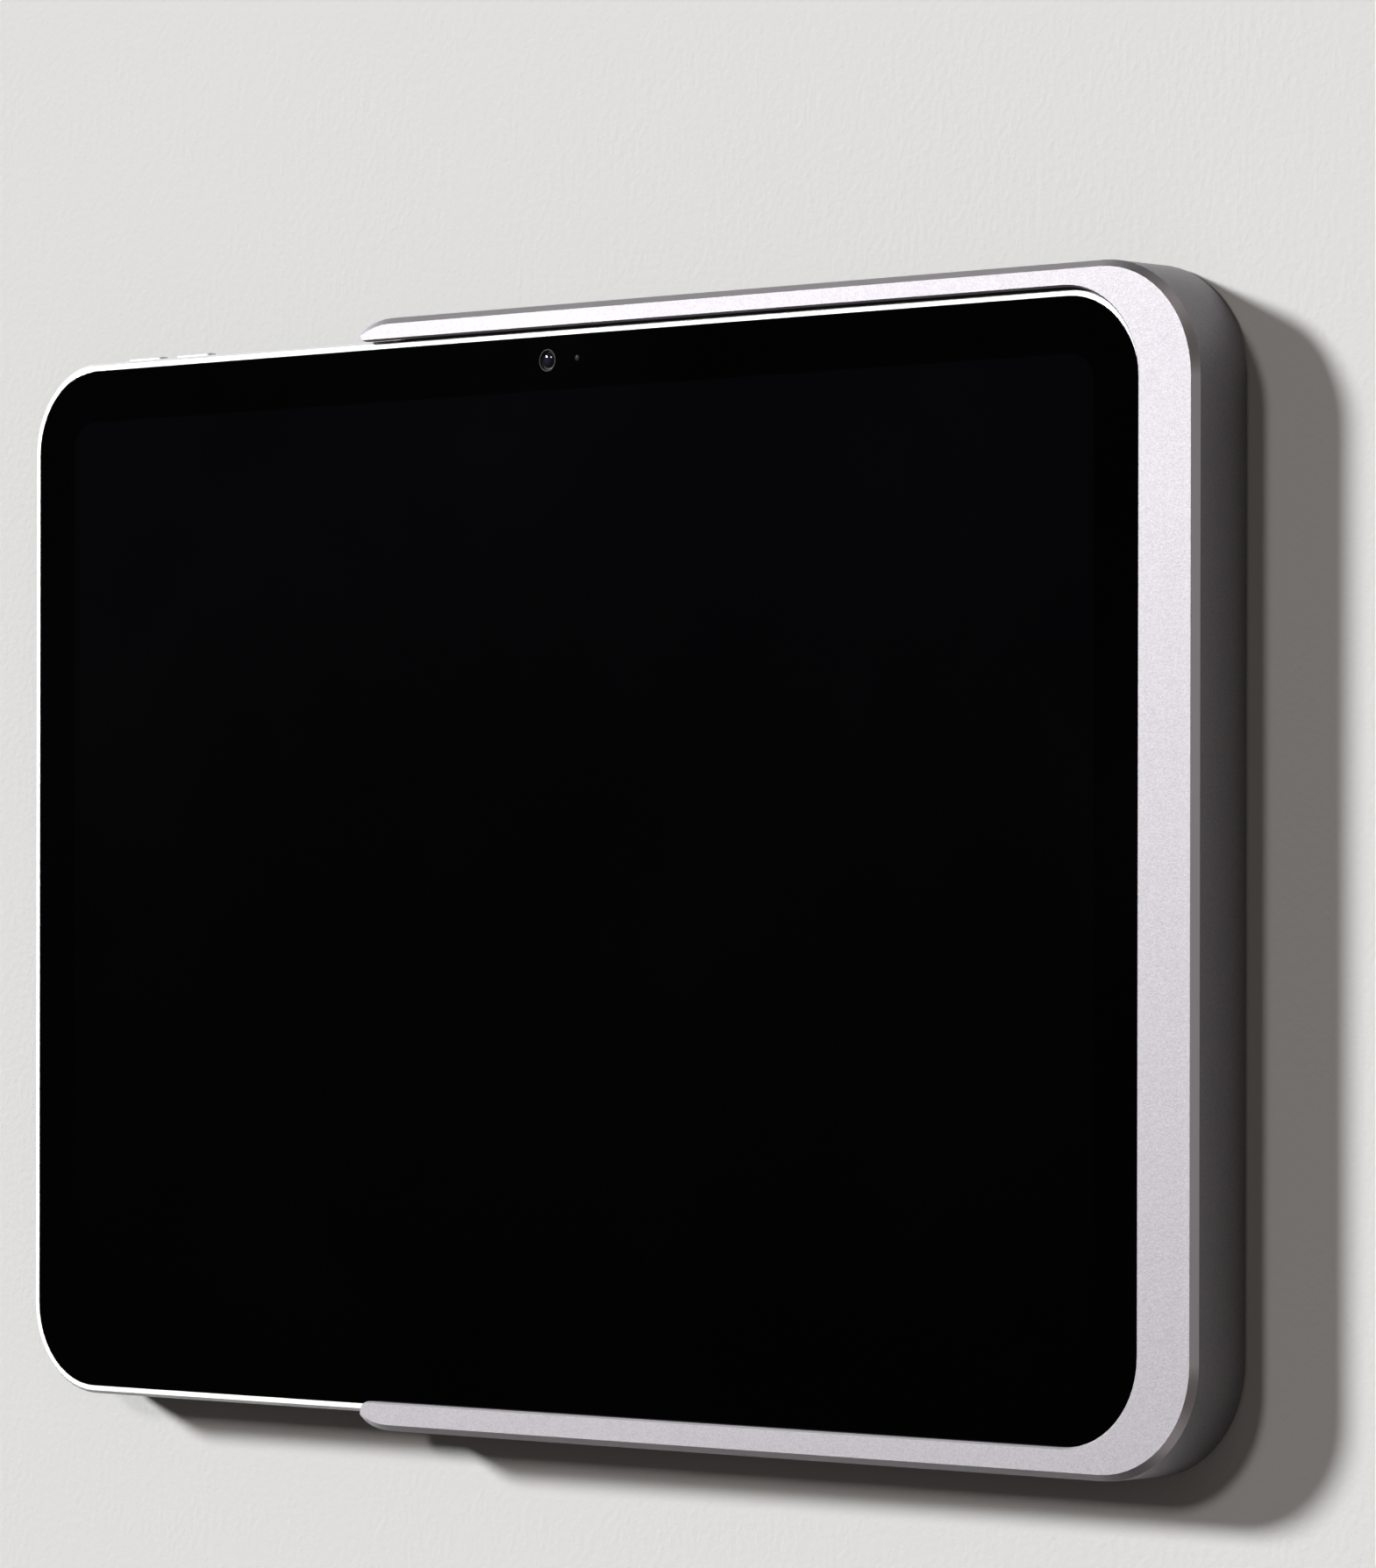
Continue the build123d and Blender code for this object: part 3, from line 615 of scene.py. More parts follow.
class Paint(Desk):
    """One material's node tree, with its shader ready to be fed."""

    def __init__(self, name: str, **constants: float) -> None:
        """Make the material and set the shader's plain values.

        Args:
            name: The material's name.
            constants: Values of the shader's sockets, with _ for a space.
        """
        self.material = bpy.data.materials.new(name)
        self.material.use_nodes = True
        super().__init__(self.material.node_tree)
        self.shader = self.tree.nodes["Principled BSDF"]
        for title, value in constants.items():
            self.shader.inputs[title.replace("_", " ")].default_value = value

    def effect(self, effect: Effect, **values) -> bpy.types.Node:
        """Place a shared effect with its own values.

        Args:
            effect: Which effect.
            values: Its inputs, with _ for a space.

        Returns:
            The group's node.
        """
        node = self.add("Group")
        node.node_tree = SHELF.get(effect)
        for title, value in values.items():
            self.feed(node.inputs[title.replace("_", " ")], value)
        return node

    def wear(self, low: float, high: float, scale: float = 25.0) -> Socket:
        """A value that changes slowly over the surface, such as a roughness.

        Args:
            low: Its lowest value.
            high: Its highest value.
            scale: How many changes there are in a metre.

        Returns:
            The value's socket.
        """
        return self.effect(Effect.HANDLING, Scale=scale, Low=low, High=high).outputs["Value"]

    def colour(self, value) -> None:
        """Feed the base colour."""
        self.feed(self.shader.inputs["Base Color"], value)

    def gloss(self, value: Feed) -> None:
        """Feed the roughness."""
        self.feed(self.shader.inputs["Roughness"], value)

    def relief(self, height: Socket, depth_mm: float) -> None:
        """Raise the surface by a height map.

        Args:
            height: The map, from 0 to 1.
            depth_mm: What 1 stands for, in millimetres.
        """
        bump = self.add("Bump")
        bump.inputs["Distance"].default_value = depth_mm * MM
        self.feed(bump.inputs["Height"], height)
        self.feed(self.shader.inputs["Normal"], bump.outputs[0])


# Finishes


@dataclass(frozen=True)
class MetalFinish:
    """A metal surface: its colour, its grain and how evenly it shines.

    The sides carry a painted shade. The slanted faces carry painted shade and painted reflection by
    which way they face, with a painted highlight on the inner ones. These shades are fitted to the
    photograph under this scene's lamps. They stand in for surroundings, and are no property of the
    metal.
    """

    name: str
    colour: Colour
    roughness: float
    grain: Grain = Grain.BLASTED
    grain_mm: float = 0.3
    contrast: float = 0.08
    relief_mm: float = 0.004
    evenness: float = 0.03
    # Painted light: the next fields set a painted shade on the sides, painted shade and painted
    # reflection on the slanted faces, and their gloss.
    bevels_with_painted_light: bool = False
    bevel_roughness: float = 0.3
    bevel_painted_light: Tuple[float, ...] = (1.0, 1.0, 1.0, 1.0)
    inner_painted_highlight: float = 1.0
    side_painted_shade: float = 1.0
    side_reach: float = 0.3
    corner_tilt: float = 0.5
    high_tilt: Tuple[float, float] = (0.6, 0.7)

    def build(self) -> bpy.types.Material:
        """Build the material and return it."""
        paint = Paint(self.name, Metallic=1.0)
        dark = tinted(self.colour, 1 - self.contrast)
        light = tinted(self.colour, 1 + self.contrast)
        if self.grain is Grain.BRUSHED:
            fine = 1 / (self.grain_mm * MM)
            grain = paint.effect(Effect.STREAKS, Stretch=(fine / 60, fine, fine),
                                 Dark=dark, Light=light)
        else:
            grain = paint.effect(Effect.SPECKLE, Scale=1 / (self.grain_mm * MM),
                                 Dark=dark, Light=light)
        gloss = paint.wear(self.roughness - self.evenness, self.roughness + self.evenness)
        colour = grain.outputs["Colour"]
        height = grain.outputs["Height"]
        if self.bevels_with_painted_light:
            colour, gloss, height = self._painted_edge_light_and_gloss(paint, colour, gloss, height)
        paint.colour(colour)
        paint.gloss(gloss)
        paint.relief(height, self.relief_mm)
        return paint.material

    def _painted_edge_light_and_gloss(self, paint: Paint, colour: Socket, gloss: Socket,
                  height: Socket) -> Tuple[Socket, Socket, Socket]:
        """Paint shade onto the sides, and shade and reflection onto the slanted faces by which way
        they face. Give the outer slanted faces their own gloss.

        Args:
            paint: The material being laid out.
            colour: The front faces' colour.
            gloss: Their roughness.
            height: Their relief.

        Returns:
            The colour, roughness and relief of the whole surface.
        """
        # Painted shade: the sides are darkened to a share of the front's colour.
        side = paint.effect(Effect.BEVEL_FACE, Facing=0.0, Width=self.side_reach).outputs["Mask"]
        colour = paint.mix(side, colour, paint.scaled(colour, (self.side_painted_shade,) * 3))
        bevel = paint.effect(Effect.BEVEL_FACE).outputs
        cut = bevel["Mask"]
        # Painted shade and painted reflection: slanted faces are darker facing down, and lighter
        # facing sideways and at the corners.
        low, level, corner, high = [tinted(self.colour, shade) for shade in self.bevel_painted_light]
        tilt = paint.sum("ABSOLUTE", bevel["Upward"])
        painted_bevel_light = paint.mix(paint.span(tilt, 0.0, self.corner_tilt, 0.0, 1.0), level, corner)
        start, full = self.high_tilt
        painted_bevel_light = paint.mix(paint.span(bevel["Upward"], start, full, 0.0, 1.0), painted_bevel_light, high)
        painted_bevel_light = paint.mix(paint.span(bevel["Upward"], -start, -full, 0.0, 1.0), painted_bevel_light, low)
        # Painted highlight: the inner slanted faces are lightened.
        painted_bevel_light = paint.mix(bevel["Inner"], painted_bevel_light, tinted(self.colour, self.inner_painted_highlight))
        colour = paint.mix(cut, colour, painted_bevel_light)
        outer = paint.sum("MULTIPLY", cut, paint.sum("SUBTRACT", 1.0, bevel["Inner"]))
        gloss = paint.span(outer, 0.0, 1.0, gloss, self.bevel_roughness)
        height = paint.sum("MULTIPLY", height, paint.sum("SUBTRACT", 1.0, cut))
        return colour, gloss, height


@dataclass(frozen=True)
class MouldedFinish:
    """A moulded plastic or rubber: its colour, its gloss and its fine texture."""

    name: str
    colour: Colour
    roughness: float
    grain_mm: float = 0.25
    contrast: float = 0.15
    relief_mm: float = 0.01
    sheen: float = 0.0
    specular: float = 0.5

    def build(self) -> bpy.types.Material:
        """Build the material and return it."""
        paint = Paint(self.name, Sheen_Weight=self.sheen, Specular_IOR_Level=self.specular)
        grain = paint.effect(Effect.SPECKLE, Scale=1 / (self.grain_mm * MM),
                             Dark=tinted(self.colour, 1 - self.contrast),
                             Light=tinted(self.colour, 1 + self.contrast))
        paint.colour(grain.outputs["Colour"])
        paint.gloss(paint.wear(self.roughness - 0.05, self.roughness + 0.05, 60.0))
        paint.relief(grain.outputs["Height"], self.relief_mm)
        return paint.material


@dataclass(frozen=True)
class FeltFinish:
    """Pressed wool felt, with short fibres lying every way."""

    name: str
    colour: Colour
    fibre_mm: float = 0.25
    dark: float = 0.6
    light: float = 1.35
    relief_mm: float = 0.05

    def build(self) -> bpy.types.Material:
        """Build the material and return it."""
        paint = Paint(self.name, Sheen_Weight=0.5, Sheen_Roughness=0.6)
        fine = 1 / (self.fibre_mm * MM)
        ends = {"Dark": tinted(self.colour, self.dark), "Light": tinted(self.colour, self.light)}
        along = paint.effect(Effect.STREAKS, Stretch=(fine / 6, fine, fine), **ends)
        across = paint.effect(Effect.STREAKS, Stretch=(fine, fine, fine / 5), **ends)
        tufts = paint.noise(paint.place(), fine / 8, 3.0, 0.6)
        paint.colour(paint.mix(tufts, along.outputs["Colour"], across.outputs["Colour"]))
        paint.gloss(paint.span(tufts, 0.3, 0.7, 0.85, 1.0))
        height = paint.sum("ADD", along.outputs["Height"], across.outputs["Height"])
        paint.relief(height, self.relief_mm)
        return paint.material


@dataclass(frozen=True)
class BoardFinish:
    """A circuit board: solder mask over copper tracks, with tinned pads."""

    name: str
    mask: Colour
    track_mm: float = 0.6
    tin: Colour = (0.62, 0.6, 0.56)
    tracks_in_cell: float = 3.0
    copper_mm: float = 0.02

    def build(self) -> bpy.types.Material:
        """Build the material and return it."""
        paint = Paint(self.name, Coat_Weight=0.4, Coat_Roughness=0.25)
        cells = paint.add("TexVoronoi", distance="MANHATTAN", feature="F1")
        paint.feed(cells.inputs["Vector"], paint.place())
        cells.inputs["Scale"].default_value = 1 / (self.track_mm * 4 * MM)
        tracks = paint.sum("FRACT", paint.sum("MULTIPLY", cells.outputs["Distance"],
                                             self.tracks_in_cell))
        copper = paint.span(tracks, 0.45, 0.55, 0.0, 1.0)
        pads = paint.span(cells.outputs["Distance"], 0.10, 0.14, 1.0, 0.0)
        shade = paint.mix(copper, tinted(self.mask, 0.8), tinted(self.mask, 1.5))
        paint.colour(paint.mix(pads, shade, tinted(self.tin)))
        paint.feed(paint.shader.inputs["Metallic"], pads)
        paint.gloss(paint.wear(0.32, 0.48, 200.0))
        paint.relief(copper, self.copper_mm)
        return paint.material


@dataclass(frozen=True)
class FoilFinish:
    """A battery cell's wrap: dark film, slightly wrinkled over flat foil."""

    name: str
    colour: Colour
    wrinkle_mm: float = 6.0
    relief_mm: float = 0.08

    def build(self) -> bpy.types.Material:
        """Build the material and return it."""
        paint = Paint(self.name, Metallic=0.0, Coat_Weight=0.3, Coat_Roughness=0.2)
        size = 1 / (self.wrinkle_mm * MM)
        wrinkles = paint.noise(paint.place(), size, 4.0, 0.6)
        grain = paint.effect(Effect.SPECKLE, Scale=size * 12, Dark=tinted(self.colour, 0.85),
                             Light=tinted(self.colour, 1.15))
        paint.colour(grain.outputs["Colour"])
        paint.gloss(paint.span(wrinkles, 0.3, 0.7, 0.3, 0.5))
        paint.relief(wrinkles, self.relief_mm)
        return paint.material


@dataclass(frozen=True)
class ScreenGlass:
    """The tablet's front glass: black border print round a faintly lighter display, lightened
    towards the top by painted light.
    """

    name: str
    border: Colour
    display: Colour
    centre: Tuple[float, float]
    half: Tuple[float, float]
    corner: float
    roughness: float = 0.04

    def build(self) -> bpy.types.Material:
        """Build the material and return it."""
        paint = Paint(self.name, IOR=1.5)
        window = paint.effect(Effect.WINDOW, Centre_X=self.centre[0], Centre_Z=self.centre[1],
                              Half_Width=self.half[0], Half_Height=self.half[1],
                              Corner=self.corner, Softness=0.0003)
        height = paint.parts(paint.place())[2]
        cloud = paint.noise(paint.place(), 9.0, 3.0, 0.5)
        # Painted light: the display is lightened towards its top, with a random cloud over it.
        rise = paint.span(height, self.centre[1] - self.half[1], self.centre[1] + self.half[1],
                          -0.15, 0.85)
        share = paint.sum("ADD", rise, paint.sum("MULTIPLY", cloud, 0.3), clamp=True)
        lit = paint.mix(share, tinted(self.border), tinted(self.display))
        paint.colour(paint.mix(window.outputs["Mask"], tinted(self.border), lit))
        paint.gloss(paint.wear(self.roughness, self.roughness + 0.05, 18.0))
        return paint.material


@dataclass(frozen=True)
class LensFinish:
    """Coated lens glass: dark, with a coloured bloom that changes over the dome and painted
    reflections in rings.
    """

    name: str
    colour: Colour
    bloom: Colour
    centre: Tuple[float, float]
    radius: float
    roughness: float = 0.03
    coat: float = 0.6
    specular: float = 0.5

    def build(self) -> bpy.types.Material:
        """Build the material and return it."""
        paint = Paint(self.name, IOR=1.6, Coat_Weight=self.coat, Coat_Roughness=0.02,
                      Specular_IOR_Level=self.specular)
        x, _, z = paint.parts(paint.place())
        off_x = paint.sum("SUBTRACT", x, self.centre[0])
        off_z = paint.sum("SUBTRACT", z, self.centre[1])
        squares = paint.sum("ADD", paint.sum("POWER", off_x, 2.0), paint.sum("POWER", off_z, 2.0))
        share = paint.span(paint.sum("SQRT", squares), 0.0, self.radius, 0.0, 1.0)
        rings = paint.sum("FRACT", paint.sum("MULTIPLY", share, 3.0))
        deep = paint.mix(share, tinted(self.bloom), tinted(self.colour))
        # Painted reflections: lighter rings over the dome, as of the lenses inside.
        bright = paint.span(rings, 0.8, 0.95, 0.0, 0.6)
        paint.colour(paint.mix(bright, deep, tinted(self.colour, 2.5)))
        paint.gloss(paint.span(share, 0.0, 1.0, self.roughness, self.roughness + 0.05))
        return paint.material


@dataclass(frozen=True)
class ContactFinish:
    """Gold-plated contact metal, with faint rub marks along it."""

    name: str
    colour: Colour
    roughness: float = 0.28

    def build(self) -> bpy.types.Material:
        """Build the material and return it."""
        paint = Paint(self.name, Metallic=1.0)
        rubs = paint.effect(Effect.STREAKS, Stretch=(900.0, 9000.0, 9000.0),
                            Dark=tinted(self.colour, 0.85), Light=tinted(self.colour, 1.1))
        paint.colour(rubs.outputs["Colour"])
        paint.gloss(paint.span(rubs.outputs["Height"], 0.3, 0.7, self.roughness - 0.06,
                               self.roughness + 0.08))
        paint.relief(rubs.outputs["Height"], 0.002)
        return paint.material


# Studio: the wall behind, the lamps and the camera


def add_light(name: str, kind: str, aim: Vector, **settings) -> Piece:
    """Add a light that shines one way.

    Args:
        name: Its name.
        kind: Its type, such as SUN.
        aim: The direction that its light travels in.
        settings: Attributes of the light.

    Returns:
        The light's object.
    """
    light = bpy.data.lights.new(name, kind)
    for title, value in settings.items():
        setattr(light, title, value)
    lamp = put_in_scene(name, light)
    lamp.rotation_euler = aim.to_track_quat("-Z", "Y").to_euler()
    return lamp


@dataclass
class Wall:
    """The painted wall, open where the object itself covers it."""

    width: float = 7.0
    behind: float = 0.2 * MM
    inset: float = 6.5 * MM
    colour: Colour = (0.806, 0.800, 0.793)
    paint_mm: float = 1.2
    relief_mm: float = 0.07
    patchiness: float = 0.005

    def build(self) -> None:
        """Add the wall with its opening behind the dock and the tablet."""
        dock_low, dock_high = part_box("dock_housing")
        tablet_low, tablet_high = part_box("tablet_housing")
        x0 = tablet_low.x + self.inset
        x1 = dock_high.x - self.inset
        z0 = tablet_low.z + self.inset
        z1 = tablet_high.z - self.inset
        border = self.width / 2
        deselect_all()
        bpy.ops.mesh.primitive_plane_add(size=1.0, rotation=(math.pi / 2, 0.0, 0.0),
                                         location=((x0 + x1) / 2, self.behind, (z0 + z1) / 2))
        wall = just_added("wall")
        wall.scale = (x1 - x0 + 2 * border, z1 - z0 + 2 * border, 1.0)
        settle(wall)
        pick(wall, lambda centre, normal: True)
        bpy.ops.mesh.inset(thickness=border, depth=0.0)
        bpy.ops.mesh.delete(type="FACE")
        leave()
        wall.data.materials.append(self._paint())
        wall.visible_shadow = False
        LOG.info("wall stands %.1f mm behind the dock", self.behind / MM)

    def _paint(self) -> bpy.types.Material:
        """Rolled wall paint that is seen from the room only."""
        paint = Paint("wall_paint", Roughness=0.85, Specular_IOR_Level=0.3)
        orange_peel = paint.noise(paint.place(), 1 / (self.paint_mm * MM), 3.0, 0.55)
        broad = paint.noise(paint.place(), 6.0, 2.0, 0.5)
        shade = paint.mix(broad, tinted(self.colour, 1 - self.patchiness),
                          tinted(self.colour, 1 + self.patchiness))
        paint.colour(shade)
        paint.relief(orange_peel, self.relief_mm)
        clear = paint.add("BsdfTransparent")
        both = paint.add("MixShader")
        back = paint.add("NewGeometry").outputs["Backfacing"]
        paint.feed(both.inputs[0], back)
        paint.feed(both.inputs[1], paint.shader.outputs[0])
        paint.feed(both.inputs[2], clear.outputs[0])
        paint.feed(paint.tree.nodes["Material Output"].inputs["Surface"], both.outputs[0])
        return paint.material


@dataclass(frozen=True)
class Lamp:
    """A lamp by the direction its light travels in."""

    name: str
    travel: Tuple[float, float, float]
    strength: float
    spread_deg: float
    colour: Colour = (1.0, 1.0, 1.0)

    def build(self) -> None:
        """Add the lamp as a distant one."""
        add_light(self.name, "SUN", Vector(self.travel), energy=self.strength,
                  color=self.colour, angle=math.radians(self.spread_deg))


@dataclass
class Studio:
    """Lamps, world and camera, all at plain levels."""

    key: Lamp = Lamp("key_lamp", (1.53, 1.0, -0.65), 4.31, 7.8, (0.985, 1.0, 1.0))
    fill: Lamp = Lamp("fill_lamp", (0.26, 1.0, -0.42), 0.51, 8.5, (1.0, 0.94, 0.9))
    rear: Lamp = Lamp("rear_lamp", (0.35, -1.0, -0.2), 2.2, 20.0)
    card_at: Tuple[float, float, float] = (1.27, -0.94, 0.0)
    card_size: float = 0.5
    card_watts: float = 0.27
    room: Colour = (0.015, 0.015, 0.015)
    window_side: Colour = (0.088, 0.076, 0.068)
    ceiling: Colour = (0.25, 0.232, 0.222)
    behind: Colour = (0.05, 0.05, 0.05)
    pale: Colour = (0.80, 0.80, 0.80)
    steep: Tuple[float, float] = (0.55, 0.8)
    room_ends: float = 0.2
    wall_blend: float = 0.02
    camera_at: Tuple[float, float, float] = (0.7346, -0.8318, -0.0087)
    yaw_deg: float = 42.287
    pitch_deg: float = -0.123
    roll_deg: float = 0.090
    lens: float = 158.33
    sensor: float = 36.0
    rise: float = 0.1007
    sight: Tuple[float, float] = (0.01, 50.0)

    def build(self) -> None:
        """Light the scene and place the camera, with no light thrown on by the metal."""
        bpy.context.scene.cycles.caustics_reflective = False
        for lamp in (self.key, self.fill, self.rear):
            lamp.build()
        self._card()
        self._world()
        self._camera()

    def _card(self) -> None:
        """A dim square card in front at the right, for the faces turned that way."""
        card = add_light("card_lamp", "AREA", -Vector(self.card_at), size=self.card_size,
                         energy=self.card_watts)
        card.location = self.card_at

    def _world(self) -> None:
        """A dark room, lighter at the right, most of all high up and low down there.

        It is grey behind the wall, and a pale backdrop to the camera.
        """
        world = bpy.data.worlds.new("studio")
        world.use_nodes = True
        bpy.context.scene.world = world
        desk = Desk(world.node_tree)
        x, y, z = desk.parts(desk.add("TexCoord").outputs["Generated"])
        steep = desk.span(desk.sum("ABSOLUTE", z), self.steep[0], self.steep[1], 0.0, 1.0)
        right = desk.mix(steep, tinted(self.window_side), tinted(self.ceiling))
        turned = desk.span(x, 0.0, self.room_ends, 0.0, 1.0)
        front = desk.mix(turned, tinted(self.room), right)
        past = desk.span(y, -self.wall_blend, self.wall_blend, 0.0, 1.0)
        grey = desk.mix(past, front, tinted(self.behind))
        seen = desk.add("LightPath").outputs["Is Camera Ray"]
        shade = desk.mix(seen, grey, tinted(self.pale))
        back = world.node_tree.nodes["Background"]
        desk.feed(back.inputs["Color"], shade)

    def _camera(self) -> None:
        """The camera at the photograph's place, turn and lens."""
        data = bpy.data.cameras.new("camera")
        data.sensor_fit = "VERTICAL"
        data.sensor_height = self.sensor
        data.lens = self.lens
        data.shift_y = self.rise
        data.clip_start, data.clip_end = self.sight
        camera = put_in_scene("camera", data)
        turn = Matrix.Rotation(math.radians(self.yaw_deg), 4, "Z")
        tilt = Matrix.Rotation(math.radians(90 + self.pitch_deg), 4, "X")
        roll = Matrix.Rotation(math.radians(self.roll_deg), 4, "Z")
        camera.matrix_world = Matrix.Translation(self.camera_at) @ turn @ tilt @ roll
        bpy.context.scene.camera = camera


# The dock


@dataclass
class DockShell:
    """The milled housing, the wall plate behind it and what holds them together."""

    edge: float = 0.08 * MM
    # The housing's last values give its sides a painted shade, and its slanted faces painted shade,
    # painted reflection and an inner painted highlight.
    housing: MetalFinish = MetalFinish(
        "blasted_dock_metal", (0.401, 0.381, 0.407), 0.56, Grain.BLASTED, 0.18, 0.12, 0.010,
        0.015, True, 0.32, (0.60, 1.85, 2.1, 1.03), 1.15, 0.60)
    plate: MetalFinish = MetalFinish(
        "rolled_plate_metal", (0.60, 0.60, 0.61), 0.52, Grain.BRUSHED, 0.12, 0.12, 0.004)
    steel: MetalFinish = MetalFinish(
        "bright_steel", (0.56, 0.55, 0.53), 0.3, Grain.PLATED, 0.1, 0.06, 0.002)
    nickel: MetalFinish = MetalFinish(
        "nickel_plate", (0.62, 0.60, 0.56), 0.22, Grain.PLATED, 0.15, 0.05, 0.001)

    def build(self) -> None:
        """Build and dress the housing, the plate and their fasteners."""
        metal = self.housing.build()
        shell = refined_copy("dock_housing", "dock_shell", self.edge)
        hand_over(shell, "dock", metal, ["dock_housing"])
        steel = self.steel.build()
        nickel = self.nickel.build()
        dress_node("wall_plate", self.plate.build())
        dress_node("locating_pins", steel)
        dress_node("lock_screws", steel)
        dress_node("dock_magnets", nickel)


@dataclass
class SlotLinings:
    """Felt pads, ribbed glide strips and the soft stop inside the slot."""

    rib_pitch: float = 1.4 * MM
    rib_rise: float = 0.14 * MM
    rib_crest: float = 0.5
    pad_round: float = 0.12 * MM
    felt: FeltFinish = FeltFinish("grey_felt", (0.10, 0.10, 0.105))
    rubber: MouldedFinish = MouldedFinish(
        "dark_silicone", (0.045, 0.045, 0.048), 0.62, 0.2, 0.2, 0.01, 0.2)

    def build(self) -> None:
        """Build the linings and stand them in for the plain solids."""
        rubber = self.rubber.build()
        for node, inwards in (("bottom_liner", 1.0), ("top_liner", -1.0)):
            strip = self._ribbed_strip(node, inwards)
            hand_over(strip, "dock", rubber, [node])
        stop = refined_copy("end_bumper", "soft_stop", self.pad_round, 3)
        hand_over(stop, "dock", rubber, ["end_bumper"])
        pads = refined_copy("back_pads", "felt_pads", self.pad_round, 3)
        hand_over(pads, "dock", self.felt.build(), ["back_pads"])

    def _ribbed_strip(self, node: str, inwards: float) -> Piece:
        """A glide strip with fine ribs across it, modelled as one rib and copied along.

        Args:
            node: The plain strip that it stands for.
            inwards: 1 if its ribs point up, and -1 if they point down.

        Returns:
            The finished strip.
        """
        low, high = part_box(node)
        count = int((high.x - low.x) / self.rib_pitch)
        pitch = (high.x - low.x) / count
        rib = add_block(node + "_ribs", low, Vector((low.x + pitch, high.y, high.z)))
        pick(rib, lambda centre, normal: normal.z * inwards > FACES_IT)
        shift_picked(Axis.Z, -inwards * self.rib_rise)
        shift_picked(Axis.Z, inwards * self.rib_rise, extrude=True)
        bpy.ops.transform.resize(value=(self.rib_crest, 1.0, 1.0))
        leave()
        pick(rib, lambda centre, normal: abs(normal.x) > FACES_IT)
        bpy.ops.mesh.delete(type="FACE")
        leave()
        repeat(rib, (pitch, 0.0, 0.0), count, merge_within=pitch * 0.01)
        bpy.ops.object.mode_set(mode="EDIT")
        bpy.ops.mesh.select_all(action="DESELECT")
        bpy.ops.mesh.select_mode(type="EDGE")
        bpy.ops.mesh.select_non_manifold(extend=False)
        bpy.ops.mesh.fill()
        leave()
        face_outwards(rib)
        smooth(rib, 20.0)
        return rib


